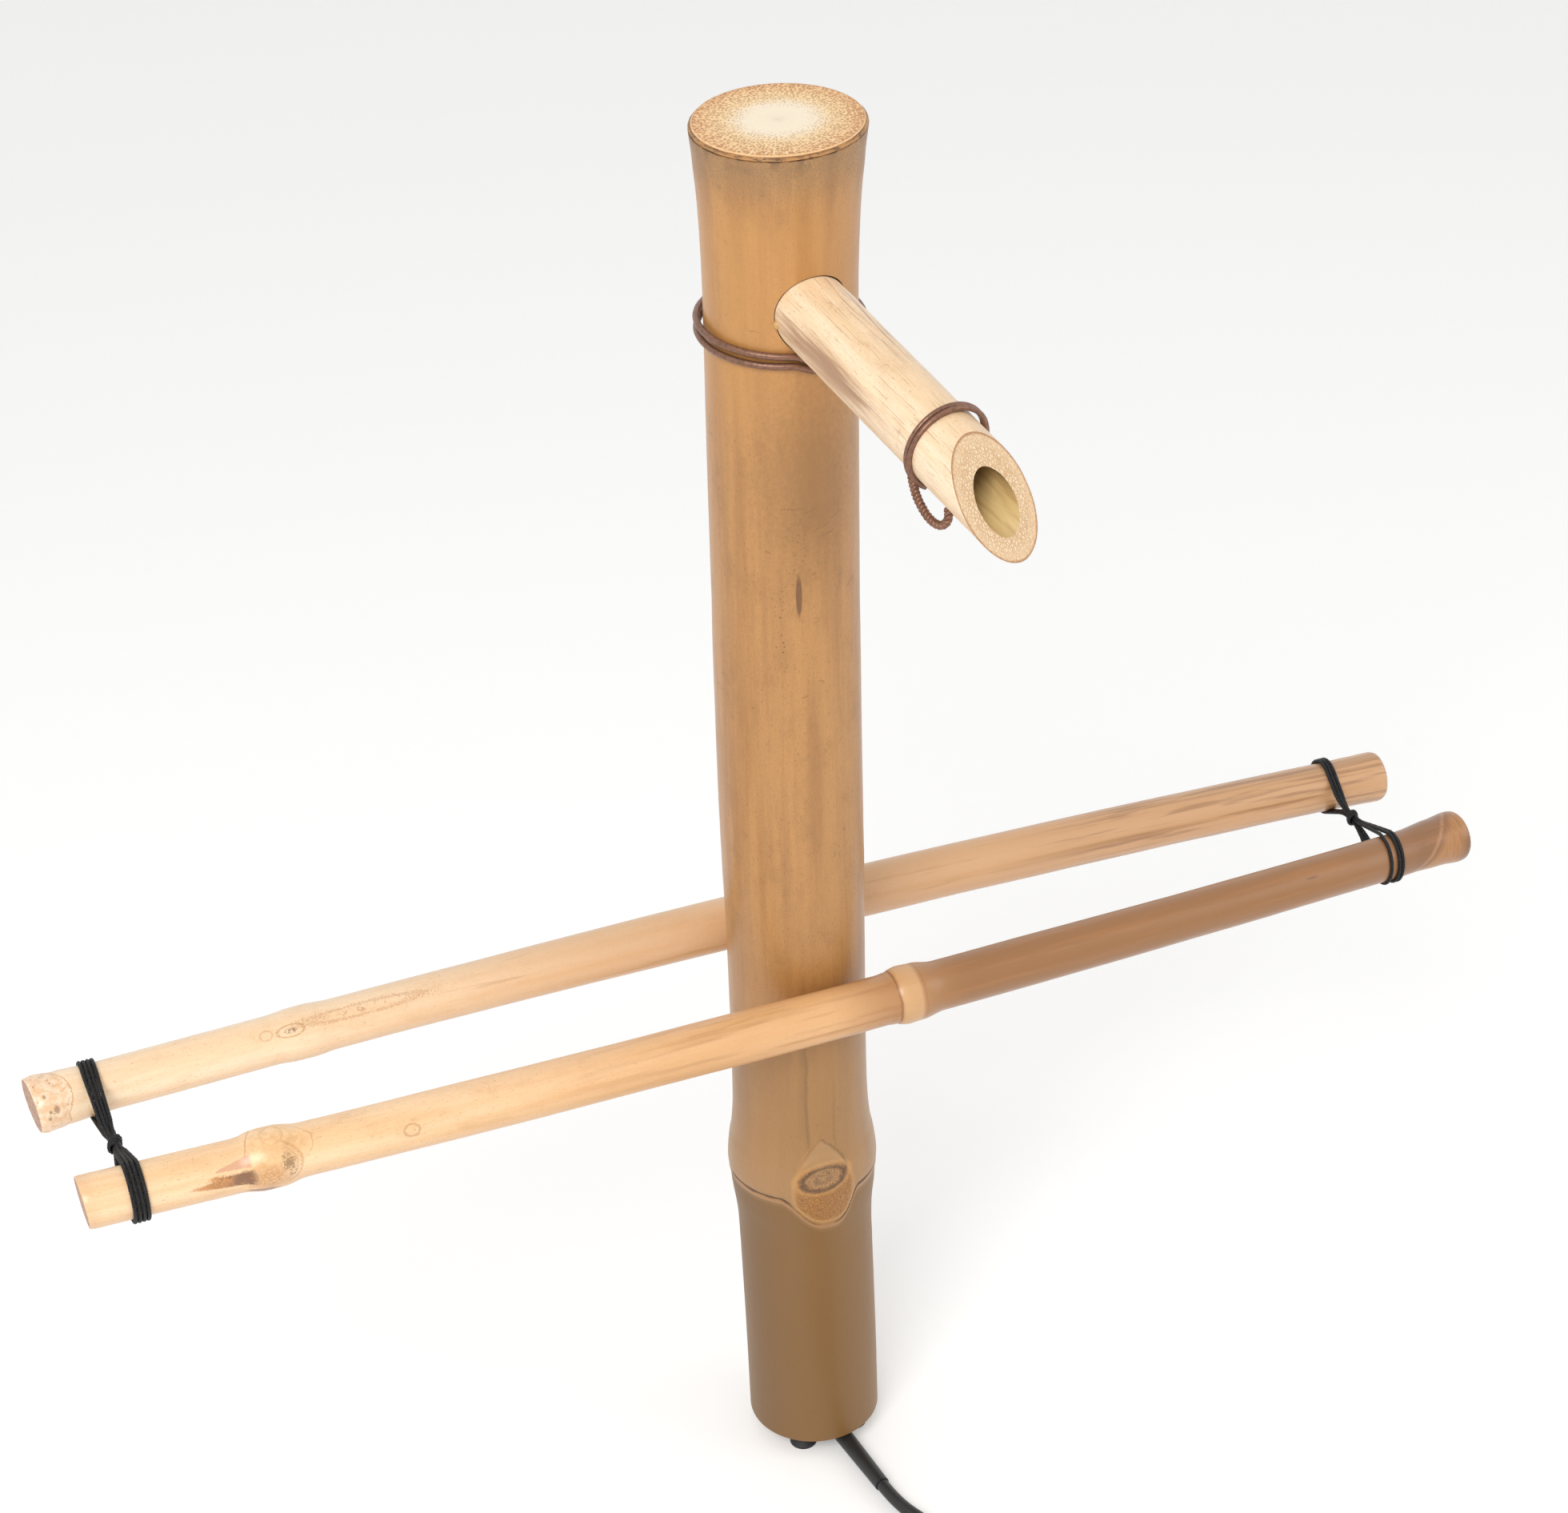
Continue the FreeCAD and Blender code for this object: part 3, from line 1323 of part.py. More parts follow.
def plug_body():
    """A rounded body behind a tapered neck, lying on its flat side."""
    neck = solid(
        "Cone",
        "plug_neck",
        f"{PLUG_X}; {PLUG_Y}; {PLUG_Z}",
        "0; 0; 90",
        Radius1="cord_radius + neck_step",
        Radius2="neck_radius",
        Height="neck_length + neck_root",
    )
    pieces = [neck]
    ys = (PLUG_FACE, f"{PLUG_FACE} + plug_length")
    for name, half_x, half_z in (
        ("wide", "plug_width / 2", "(plug_depth / 2 - plug_corner)"),
        ("tall", "(plug_width / 2 - plug_corner)", "plug_depth / 2"),
    ):
        xs = (f"{PLUG_X} - {half_x}", f"{PLUG_X} + {half_x}")
        zs = (f"{PLUG_Z} - {half_z}", f"{PLUG_Z} + {half_z}")
        pieces.append(block(f"plug_{name}", xs, ys, zs))
    for sx in (-1, 1):
        for sz in (-1, 1):
            x = f"{PLUG_X} + {sx} * (plug_width / 2 - plug_corner)"
            z = f"{PLUG_Z} + {sz} * (plug_depth / 2 - plug_corner)"
            pieces.append(along_y("plug_edge", "plug_corner", *ys, x, z))
    return fuse("plug_made", *pieces)


def blades():
    pair = []
    for side in (-1, 1):
        middle = f"{PLUG_X} + {side} * blade_gap / 2"
        blade = block(
            "blade",
            (f"{middle} - blade_thick / 2", f"{middle} + blade_thick / 2"),
            (f"{PLUG_FACE} - blade_length", PLUG_FACE),
            (f"{BLADES_Z} - blade_width / 2", f"{BLADES_Z} + blade_width / 2"),
        )
        pair.append(blade)
    return fuse("blades_made", *pair)


keep("plug_body", plug_body())
keep("plug_blades", blades())
EARTH_Z = f"({BLADES_Z} - earth_drop)"
earth_pin = along_y(
    "earth_pin", "earth_radius", f"{PLUG_FACE} - earth_length", PLUG_FACE, PLUG_X, EARTH_Z
)
keep("plug_earth_pin", earth_pin)

doc.recompute()

for item in doc.Objects:
    if "Invalid" in item.State or "Error" in item.State:
        raise RuntimeError(f"{item.Name} failed: {item.State}")
for node, piece in KEPT.items():
    if piece.Shape.isNull() or not piece.Shape.isValid():
        raise RuntimeError(f"{node} has no valid shape")

os.makedirs("parts", exist_ok=True)
for node, piece in KEPT.items():
    piece.Shape.exportStep(f"parts/{node}.step")
    box = piece.Shape.optimalBoundingBox()
    count = len(piece.Shape.Solids)
    print(
        f"{node}: {count} solid, {piece.Shape.Volume / 1000:.2f} cm3,"
        f" x {box.XMin:.1f} {box.XMax:.1f}, y {box.YMin:.1f} {box.YMax:.1f},"
        f" z {box.ZMin:.1f} {box.ZMax:.1f}"
    )
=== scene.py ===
import math

import bmesh
import bpy
from mathutils import Matrix, Vector, noise


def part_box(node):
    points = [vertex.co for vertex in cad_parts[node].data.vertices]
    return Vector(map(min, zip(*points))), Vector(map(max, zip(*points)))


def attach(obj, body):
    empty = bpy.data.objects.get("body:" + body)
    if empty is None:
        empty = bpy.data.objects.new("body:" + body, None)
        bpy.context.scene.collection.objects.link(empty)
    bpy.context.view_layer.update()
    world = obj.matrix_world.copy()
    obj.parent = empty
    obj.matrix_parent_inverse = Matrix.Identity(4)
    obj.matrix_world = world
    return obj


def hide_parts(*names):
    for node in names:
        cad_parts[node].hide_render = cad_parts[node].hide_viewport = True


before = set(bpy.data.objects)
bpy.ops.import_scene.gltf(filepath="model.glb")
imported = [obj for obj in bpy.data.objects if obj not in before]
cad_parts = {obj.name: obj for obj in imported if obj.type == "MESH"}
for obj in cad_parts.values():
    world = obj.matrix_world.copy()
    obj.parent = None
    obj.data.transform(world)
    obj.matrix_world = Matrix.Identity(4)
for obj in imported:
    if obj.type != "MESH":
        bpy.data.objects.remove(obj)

# Bamboo water spout: an upright post with a slanted spout, two poles tied across it, and the pump,
# lead and plug that go with it. Sizes and places are in millimetres in the frame's own axes and
# become metres when a piece is finished. Angles are in degrees unless a formula turns them.

for leftover in ("Cube", "Light", "Camera"):
    if leftover in bpy.data.objects:
        bpy.data.objects.remove(bpy.data.objects[leftover])
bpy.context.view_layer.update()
MM = 0.001


def corner(node, which):
    """A node's lowest (0) or highest (1) corner in millimetres."""
    return Vector(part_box(node)[which]) / MM


# Sizes of the post, seen from the floor up
POST_FOOT = corner("post", 0).z
POST_TOP = corner("post", 1).z
POST_RADIUS = 28.9
BORE_RADIUS = 19.0
FOOT_RADIUS = 23.44
FOOT_SHOULDER = 47.8
DIAPHRAGM = (151.5, 156.5)
TUBE_HOLE = 6.5
TOP_DISC = 14.0
TOP_TILT = 7.0
TOP_TURN = 24.0
SLANT_START = 572.0
FLARE_OUT = 3.6
FLARE_START = 559.5
FLARE_END = 616.5
RIM_HEIGHT = 2.1
SHEATH_LEVEL = 152.4
SHEATH_DIP = 15.2
SHEATH_MIDDLE = -2.0
SHEATH_DIP_HALF = (38, 28)
NODE_MIDDLE = 154.0
NODE_OUT = 2.45
NODE_HALF = (18, 19)
BUD = (-5.0, 162.4)
BUD_HALF = (9.9, 6.1)
BUD_TURN = 10.0
HOOD_HALF = (11.0, 19.1)

# Sizes of the spout, along its own axis
SPOUT_HEIGHT = 557.2
SPOUT_TURN = 7.35
SPOUT_FALL = 13.0
SPOUT_ROOT = 14.5
SPOUT_TAPER = 0.6
SPOUT_START = 20.0
SPOUT_REACH = 150.2
SPOUT_BLANK = 195.0
SPOUT_CUT_TILT = 54.0
SPOUT_BORE = 7.5
BORE_DROP = 1.0
TUBE_SEAT = 6.2
TUBE_SEAT_END = 56.0
SPOUT_HOLE = 14.7
SPOUT_BOW = 1.5
GLUE_RADIUS = 1.5

# Height of the poles' undersides, and the gap between each pole and the post
REST_HEIGHT = 242.4
POLE_GAP = 0.3

# Shader helpers


def tone(red, green, blue):
    """A colour given in screen steps, as the shader reads it."""
    steps = (step / 255 for step in (red, green, blue))
    linear = [s / 12.92 if s < 0.04045 else ((s + 0.055) / 1.055) ** 2.4 for s in steps]
    return (*linear, 1.0)


class Field:
    """A number, a place or a colour that changes over a surface."""

    def __init__(self, nodes, socket):
        self.nodes = nodes
        self.socket = socket

    def math(self, operation, *values):
        return self.nodes.node("ShaderNodeMath", {"operation": operation}, dict(enumerate(values)))

    def __add__(self, other):
        return self.math("ADD", self, other)

    def __radd__(self, other):
        return self.math("ADD", other, self)

    def __sub__(self, other):
        return self.math("SUBTRACT", self, other)

    def __rsub__(self, other):
        return self.math("SUBTRACT", other, self)

    def __mul__(self, other):
        return self.math("MULTIPLY", self, other)

    def __rmul__(self, other):
        return self.math("MULTIPLY", other, self)

    def __truediv__(self, other):
        return self.math("DIVIDE", self, other)

    def __pow__(self, power):
        return self.math("POWER", self, power)

    def size(self):
        return self.math("ABSOLUTE", self)

    def least(self, other):
        return self.math("MINIMUM", self, other)

    def most(self, other):
        return self.math("MAXIMUM", self, other)

    def ramp(self, low, high):
        """0 at low, 1 at high and smooth between, whichever is the larger."""
        values = {0: self, 1: low, 2: high, 3: 0.0, 4: 1.0}
        return self.nodes.node("ShaderNodeMapRange", {"interpolation_type": "SMOOTHSTEP"}, values)

    def line(self, middle, half):
        """1 at middle, 0 at half or more from it."""
        return (self - middle).size().ramp(half, 0.0)


class Nodes:
    """A node tree. Every node in it comes from its one node method."""

    def __init__(self, tree):
        self.tree = tree
        tree.nodes.clear()

    def node(self, kind, settings=None, inputs=None, output=0):
        """Adds a node and gives back one of its outputs, if it has any."""
        made = self.tree.nodes.new(kind)
        for name, value in (settings or {}).items():
            setattr(made, name, value)
        for key, value in (inputs or {}).items():
            if isinstance(value, Field):
                self.tree.links.new(value.socket, made.inputs[key])
            else:
                made.inputs[key].default_value = value
        return Field(self, made.outputs[output]) if made.outputs else None

    def looked_at(self):
        """1 for what the camera, a reflection or a clear surface shows, 0 for light that falls."""
        camera = self.node("ShaderNodeLightPath", output="Is Camera Ray")
        mirror = self.node("ShaderNodeLightPath", output="Is Glossy Ray")
        clear = self.node("ShaderNodeLightPath", output="Is Transmission Ray")
        return camera.most(mirror).most(clear)


class Finish(Nodes):
    """One material: its fields, and the colour, roughness and relief that are laid over each other."""

    def __init__(self, name, color=(0.5, 0.5, 0.5, 1.0), roughness=0.5):
        self.material = bpy.data.materials.new(name)
        self.material.use_nodes = True
        super().__init__(self.material.node_tree)
        self.color = color
        self.roughness = roughness
        self.height = None

    def attribute(self, name):
        return self.node("ShaderNodeAttribute", {"attribute_name": name}, output="Vector")

    def place(self):
        """The object's own coordinates, in millimetres."""
        metres = self.node("ShaderNodeTexCoord", output="Object")
        return self.stretch(metres, 1 / MM, 1 / MM, 1 / MM)

    def stretch(self, place, x, y, z):
        settings = {"operation": "MULTIPLY"}
        return self.node("ShaderNodeVectorMath", settings, {0: place, 1: (x, y, z)})

    def split(self, place):
        node = self.node("ShaderNodeSeparateXYZ", inputs={0: place}).socket.node
        return [Field(self, socket) for socket in node.outputs]

    def join(self, x, y, z):
        return self.node("ShaderNodeCombineXYZ", inputs={0: x, 1: y, 2: z})

    def angle(self, across, up):
        """Degrees round a cane, 0 on its across side and 90 on its up side."""
        turn = self.node("ShaderNodeMath", {"operation": "ARCTAN2"}, {0: up, 1: across})
        return turn * math.degrees(1)

    def wrapped(self, angle):
        """The same angle counted from -90 to 270, so that a cane's left side has no seam."""
        return angle + angle.ramp(-89.9, -90.1) * 360.0

    def noise(self, place, scale, detail=4.0, rough=0.55):
        inputs = {"Vector": place, "Scale": scale, "Detail": detail, "Roughness": rough}
        return self.node("ShaderNodeTexNoise", None, inputs)

    def streaks(self, place, share, scale, **kind):
        """Noise whose change along a cane is that share of its change across."""
        return self.noise(self.stretch(place, 1, 1, share), scale, **kind)

    def cells(self, place, scale, feature="F1", scatter=1.0):
        inputs = {"Vector": place, "Scale": scale, "Randomness": scatter}
        return self.node("ShaderNodeTexVoronoi", {"feature": feature}, inputs)

    def blend(self, share, first, second, kind="MIX"):
        settings = {"data_type": "RGBA", "blend_type": kind}
        return self.node("ShaderNodeMix", settings, {0: share, 6: first, 7: second}, 2)

    def spot(self, x, y, middle, half):
        """How far a point lies from a spot's middle, 1 at its rim."""
        dx = (x - middle[0]) / half[0]
        dy = (y - middle[1]) / half[1]
        return (dx * dx + dy * dy) ** 0.5

    def paint(self, share, color, roughness=None):
        """Lays a colour over what is there, by share."""
        self.color = self.blend(share, self.color, color)
        if roughness is not None:
            self.roughness = self.roughness + (roughness - self.roughness) * share

    def shade(self, factor):
        """Makes the colour lighter or darker, by a factor."""
        color = self.color if isinstance(self.color, Field) else self.color[:3]
        settings = {"operation": "SCALE"}
        self.color = self.node("ShaderNodeVectorMath", settings, {0: color, "Scale": factor})

    def lift(self, height):
        """Raises the surface, in millimetres."""
        self.height = height if self.height is None else self.height + height

    def finished(self, **fixed):
        """Joins everything to the shader. fixed holds what is the same all over."""
        inputs = {"Base Color": self.color, "Roughness": self.roughness}
        inputs |= {name.replace("_", " "): value for name, value in fixed.items()}
        if self.height is not None:
            relief = {"Height": self.height, "Distance": MM, "Strength": 1.0}
            inputs["Normal"] = self.node("ShaderNodeBump", None, relief)
        shader = self.node("ShaderNodeBsdfPrincipled", None, inputs)
        self.node("ShaderNodeOutputMaterial", None, {"Surface": shader})
        return self.material


# Mesh helpers

# Sides of the round pieces, and the spacing of their rings where they have fine relief
POST_SIDES = 256
SPOUT_SIDES = 128
POLE_SIDES = 112
FINE_SPACING = 0.8


def bell(offset):
    return math.exp(-offset * offset)


def smooth(value, low, high):
    """0 at low, 1 at high and smooth between, whichever is the larger."""
    share = min(1.0, max(0.0, (value - low) / (high - low)))
    return share * share * (3 - 2 * share)


def wander(across, up, along, size):
    """Smooth unevenness between -1 and 1, in lumps of about that size."""
    return noise.noise(Vector((across, up, along)) / size)


def swell(vert, out):
    """Moves a point out from the Z axis."""
    share = 1 + out / math.hypot(vert.co.x, vert.co.y)
    vert.co.x *= share
    vert.co.y *= share


def steps_between(start, stop, spacing):
    """Places from start to stop, each spacing(place) after the last."""
    places = [start]
    while places[-1] < stop - spacing(places[-1]) * 0.5:
        places.append(min(stop, places[-1] + spacing(places[-1])))
    return places


def lathe(profile, steps, ring=False):
    """A shape turned about Z, from (radius, height) corners. A ring's profile closes on itself."""
    bm = bmesh.new()
    corners = [bm.verts.new((radius, 0, height)) for radius, height in profile]
    edges = [bm.edges.new(pair) for pair in zip(corners, corners[1:])]
    if ring:
        edges.append(bm.edges.new((corners[-1], corners[0])))
    turn = {"axis": (0, 0, 1), "cent": (0, 0, 0), "angle": math.tau, "steps": steps, "use_merge": True}
    bmesh.ops.spin(bm, geom=corners + edges, **turn)
    bmesh.ops.remove_doubles(bm, verts=bm.verts, dist=1e-4)
    bmesh.ops.recalc_face_normals(bm, faces=bm.faces)
    return bm


def make_piece(name, bm, body, materials, replaced=(), sharp=38):
    """Finishes a mesh in millimetres as a piece in metres that rides on its body."""
    bmesh.ops.recalc_face_normals(bm, faces=bm.faces)
    bm.transform(Matrix.Scale(MM, 4))
    for face in bm.faces:
        face.smooth = True
    for edge in bm.edges:
        edge.smooth = len(edge.link_faces) != 2 or edge.calc_face_angle() < math.radians(sharp)
    mesh = bpy.data.meshes.new(name)
    bm.to_mesh(mesh)
    bm.free()
    for material in materials:
        mesh.materials.append(material)
    piece = bpy.data.objects.new(name, mesh)
    bpy.context.collection.objects.link(piece)
    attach(piece, body)
    if replaced:
        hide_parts(*replaced)
    return piece


def straight_grain(bm):
    """Keeps each point's place in the straight cane, for the materials."""
    layer = bm.verts.layers.float_vector.new("grain")
    for vert in bm.verts:
        vert[layer] = vert.co
    return layer


def curved(name, paths, kind="POLY", radius=0.0, sides=0, resolution=12):
    """A curve object along lists of points. NURBS runs are smooth, with their ends on the points."""
    curve = bpy.data.curves.new(name, "CURVE")
    curve.dimensions = "3D"
    curve.bevel_depth = radius
    curve.bevel_resolution = sides
    curve.use_fill_caps = True
    curve.resolution_u = resolution
    for points in paths:
        spline = curve.splines.new(kind)
        spline.points.add(len(points) - 1)
        for point, place in zip(spline.points, points):
            point.co = (*place, 1)
        if kind == "NURBS":
            spline.order_u = 3
            spline.use_endpoint_u = True
    holder = bpy.data.objects.new(name, curve)
    bpy.context.collection.objects.link(holder)
    return holder


def taken_mesh(holder):
    """The finished mesh of a scratch object, which goes."""
    bpy.context.view_layer.update()
    graph = bpy.context.evaluated_depsgraph_get()
    mesh = bpy.data.meshes.new_from_object(holder.evaluated_get(graph))
    bpy.data.objects.remove(holder)
    return mesh


def rope(paths, radius, sides=3):
    """Round strands along lists of points, as one mesh. sides is the strand's bevel resolution."""
    mesh = taken_mesh(curved("strands", paths, "POLY", radius, sides))
    bm = bmesh.new()
    bm.from_mesh(mesh)
    bpy.data.meshes.remove(mesh)
    bmesh.ops.remove_doubles(bm, verts=bm.verts, dist=1e-5)
    return bm


def evenly(points, step):
    """The same line with its points about step apart."""
    spaced = [points[0]]
    left = step
    for start, stop in zip(points, points[1:]):
        length = (stop - start).length
        while length > 0 and left <= length:
            spaced.append(start.lerp(stop, left / length))
            left += step
        left -= length
    return spaced


def twisted(path, offset, lay, count):
    """Strands wound round a line of evenly spaced points."""
    strands = [[] for _ in range(count)]
    side = Vector((0.31, 0.17, 0.94))
    travelled = 0.0
    for index, point in enumerate(path):
        before = path[max(0, index - 1)]
        after = path[min(len(path) - 1, index + 1)]
        heading = (after - before).normalized()
        side = (side - heading * side.dot(heading)).normalized()
        other = heading.cross(side)
        travelled += (point - before).length
        for strand in range(count):
            turn = math.tau * (travelled / lay + strand / count)
            strands[strand].append(point + (side * math.cos(turn) + other * math.sin(turn)) * offset)
    return strands


# Camera and light

CAMERA_PLACE = (-0.3513, -0.8993, 0.9041)
CAMERA_RIGHT = Vector((0.92576, -0.37684, -0.03101))
CAMERA_UP = Vector((0.21177, 0.44878, 0.86819))
LENS = 63.13
NEAR_CLIP = 0.01
# Lamps: place in metres, width in metres and power in watts
LAMPS = {
    "key": ((-1.1, -1.3, 1.7), 1.0, 24.0),
    "fill": ((1.5, -0.9, 1.1), 1.2, 5.0),
}
LAMP_AIM = (0, 0, 0.3)
SKY_STRENGTH = 0.62
FLOOR_VEIL = 0.2
FLOOR_HALF = 6.0


def set_camera():
    camera = bpy.data.cameras.new("camera")
    camera.lens = LENS
    camera.sensor_fit = "HORIZONTAL"
    camera.clip_start = NEAR_CLIP
    holder = bpy.data.objects.new("camera", camera)
    bpy.context.collection.objects.link(holder)
    back = CAMERA_RIGHT.cross(CAMERA_UP)
    turn = Matrix((CAMERA_RIGHT, CAMERA_UP, back)).transposed().to_4x4()
    holder.matrix_world = Matrix.Translation(CAMERA_PLACE) @ turn
    bpy.context.scene.camera = holder


def set_light():
    world = bpy.data.worlds.new("studio")
    world.use_nodes = True
    sky = Nodes(world.node_tree)
    strength = sky.looked_at() * (1 - SKY_STRENGTH) + SKY_STRENGTH
    shown = sky.node("ShaderNodeBackground", None, {"Color": (1, 1, 1, 1), "Strength": strength})
    sky.node("ShaderNodeOutputWorld", None, {"Surface": shown})
    bpy.context.scene.world = world
    for name, (place, width, power) in LAMPS.items():
        lamp = bpy.data.lights.new(name, "AREA")
        lamp.size = width
        lamp.energy = power
        holder = bpy.data.objects.new(name, lamp)
        bpy.context.collection.objects.link(holder)
        aim = (Vector(LAMP_AIM) - Vector(place)).to_track_quat("-Z", "Y")
        holder.matrix_world = Matrix.Translation(place) @ aim.to_matrix().to_4x4()


def lay_floor():
    finish = Finish("studio_floor", tone(250, 250, 249), 0.65)
    grit = finish.noise(finish.place(), 0.08, detail=5.0)
    finish.shade(0.985 + grit * 0.03)
    veil = finish.looked_at() * FLOOR_VEIL
    glow = finish.join(veil, veil, veil)
    bm = bmesh.new()
    bmesh.ops.create_grid(bm, x_segments=8, y_segments=8, size=FLOOR_HALF)
    mesh = bpy.data.meshes.new("floor")
    bm.to_mesh(mesh)
    bm.free()
    mesh.materials.append(finish.finished(Emission_Color=glow, Emission_Strength=1.0))
    floor = bpy.data.objects.new("floor", mesh)
    bpy.context.collection.objects.link(floor)


bpy.context.scene.view_settings.view_transform = "Standard"
set_camera()
set_light()
lay_floor()

# Lead: one flexible cord from the strain relief round the put-away coil to the plug

PUMP_TURN = 6.0
RELIEF_OFFSET = 2.0
RELIEF_START = 12.0
RELIEF_LENGTH = 48.0
RELIEF_HEIGHT = 4.7
LEAD_RADIUS = 2.95
COIL_MIDDLE = (-8.0, -150.0)
COIL_RADIUS = 46.4
COIL_PITCH = 6.4
COIL_LOW = 4.1
COIL_IN = 7
COIL_OUT = 6
POINTS_PER_HALF_TURN = 12
# The lead's way over the floor to the coil, and from the coil to the plug
LEAD_FLOOR_RUN = (
    (15.4, -84.0, 3.3),
    (23.8, -98.5, 3.0),
    (32.0, -113.5, 3.2),
    (38.4, -129.0, 4.1),
    (38.4, -144.1, 4.1),
)
LEAD_TAIL = ((32.0, -155.9, 10.5), (32.0, -168.9, 10.5), (33.0, -184.9, 11.0), (33.0, -199.9, 11.0))


def pump_place(x, y, z):
    """A place given square to the pump, turned with it about the post's axis."""
    return Matrix.Rotation(math.radians(PUMP_TURN), 3, "Z") @ Vector((x, y, z))


def coil_points():
    """Half turns that spiral in, climb one layer and spiral out again."""
    step = COIL_PITCH / 2
    radii = [COIL_RADIUS - step * index for index in range(COIL_IN + 1)]
    radii += [radii[-1] + step * (index + 1) for index in range(COIL_OUT)]
    x = COIL_MIDDLE[0] + COIL_RADIUS
    y = COIL_MIDDLE[1]
    z = COIL_LOW
    points = []
    for index, radius in enumerate(radii):
        way = 1 if index % 2 else -1
        rise = COIL_PITCH if index == COIL_IN else 0.0
        for count in range(POINTS_PER_HALF_TURN):
            share = count / POINTS_PER_HALF_TURN
            turn = math.pi * share
            over = way * radius * (1 - math.cos(turn))
            points.append(Vector((x + over, y + way * radius * math.sin(turn), z + rise * share)))
        x += way * 2 * radius
        z += rise
    points.append(Vector((x, y, z)))
    return points


def lead_points():
    start = pump_place(RELIEF_OFFSET, -RELIEF_START - RELIEF_LENGTH, RELIEF_HEIGHT)
    heading = pump_place(0, -1, 0)
    floor_run = [Vector(place) for place in LEAD_FLOOR_RUN]
    tail = [Vector(place) for place in LEAD_TAIL]
    return [start, start + heading * 12] + floor_run + coil_points() + tail


def lead_rubber():
    finish = Finish("lead_rubber", tone(30, 30, 31), 0.42)
    place = finish.place()
    grime_and_shade = finish.noise(place, 0.15, detail=5.0)
    pores = finish.noise(place, 2.2, detail=2.0)
    finish.paint(grime_and_shade.ramp(0.5, 0.8) * 0.5, tone(52, 51, 50), 0.55)
    finish.lift(pores * 0.03 + grime_and_shade * 0.05)
    return finish.finished(Specular_IOR_Level=0.5)


def lay_lead(material):
    points = [place * MM for place in lead_points()]
    lead = curved("mains_lead_cord", [points], "NURBS", LEAD_RADIUS * MM, 4, 6)
    lead.data.materials.append(material)
    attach(lead, "pump")
    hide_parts("mains_lead", "lead_coil", "plug_lead")


LEAD_RUBBER = lead_rubber()
lay_lead(LEAD_RUBBER)

# Bamboo finishes


def cane_skin(name, pale, deep, stain, gloss=0.34):
    """The waxy outside of a cane: bands of colour, short fine fibres, specks and faint scratches."""
    finish = Finish(name)
    grain = finish.attribute("grain")
    bands = finish.streaks(grain, 0.05, 0.1, detail=3.0)
    cloud = finish.streaks(grain, 0.5, 0.12, detail=6.0, rough=0.62)
    fibre_and_glint = finish.streaks(grain, 0.09, 1.5, detail=4.0, rough=0.66)
    dash = finish.streaks(grain, 0.35, 1.7, detail=2.0)
    hair = finish.streaks(grain, 2.2, 0.07, detail=1.0)
    finish.color = finish.blend(bands.ramp(0.38, 0.62), pale, deep)
    finish.roughness = gloss + cloud * 0.16
    finish.paint(cloud.ramp(0.46, 0.78) * 0.3, stain)
    pores = finish.streaks(grain, 0.5, 2.4, detail=3.0, rough=0.7)
    finish.shade(0.74 + fibre_and_glint * 0.26 + pores * 0.26)
    finish.paint(dash.ramp(0.62, 0.72) * 0.6, stain, gloss + 0.2)
    finish.paint(hair.line(0.5, 0.009) * cloud.ramp(0.52, 0.6) * 0.5, stain)
    finish.lift(fibre_and_glint * 0.05 + cloud * 0.08)
    return finish


def end_grain(name, pale, deep, bundle, size=0.85):
    """A saw cut across the cane: pale tissue crowded with dark fibre bundles towards the skin."""
    finish = Finish(name, pale, 0.7)
    across, up, _ = finish.split(finish.attribute("grain"))
    flat = finish.join(across, up, 0.0)
    rough_cut = finish.noise(flat, 0.4, detail=5.0)
    saw = finish.noise(finish.stretch(flat, 1, 0.06, 1), 1.6, detail=2.0)
    dots = finish.cells(flat, 1 / size)
    finish.paint(rough_cut.ramp(0.4, 0.7), deep)
    finish.paint(dots.ramp(0.42, 0.22) * 0.7, bundle)
    finish.shade(0.92 + saw * 0.16)
    finish.lift(dots * 0.06 + rough_cut * 0.08 + saw * 0.05)
    return finish


def bore_skin(name, pale, deep):
    """The dull inside of a cane."""
    finish = Finish(name)
    grain = finish.attribute("grain")
    fibre_and_glint = finish.streaks(grain, 0.1, 0.25, detail=5.0)
    finish.color = finish.blend(fibre_and_glint.ramp(0.35, 0.65), pale, deep)
    finish.roughness = 0.6
    finish.lift(fibre_and_glint * 0.2)
    return finish


# Post


# The culm's natural bow: its middle line runs off to +X at the top and a little to -X lower down
BOW_TOP = 3.4
BOW_START = 400
BOW_LENGTH = 215
BOW_LOW = 0.7
# How much further to -X the outside alone runs off: how far, round which height, over what half length
OFFSETS = ((1.45, 165, 100), (0.55, 345, 55))
# Slow swellings of the skin: how far out, then the heights where each starts, is full, and ends
SWELLINGS = ((0.25, 275, 300, 400, 430), (0.4, 550, 580, 600, 612))
# Rounder ones: how far out, round which height, over what half length
ROUND_SWELLINGS = ((0.3, 340, 60), (0.4, 139, 9))


def bow(z):
    high = (max(0.0, z - BOW_START) / BOW_LENGTH) ** 1.4
    return BOW_TOP * high - BOW_LOW * smooth(z, 30, 330)


def wander_off(z):
    return sum(far * bell((z - height) / half) for far, height, half in OFFSETS)


def sheath_line(angle):
    """Height of the sheath's scar round the lower node, which dips under the bud."""
    turn = angle - SHEATH_MIDDLE
    left, right = SHEATH_DIP_HALF
    share = min(1.0, abs(turn) / left) ** 1.3 if turn < 0 else min(1.0, turn / right) ** 2
    return SHEATH_LEVEL - SHEATH_DIP * (1 - smooth(share, 0, 1))


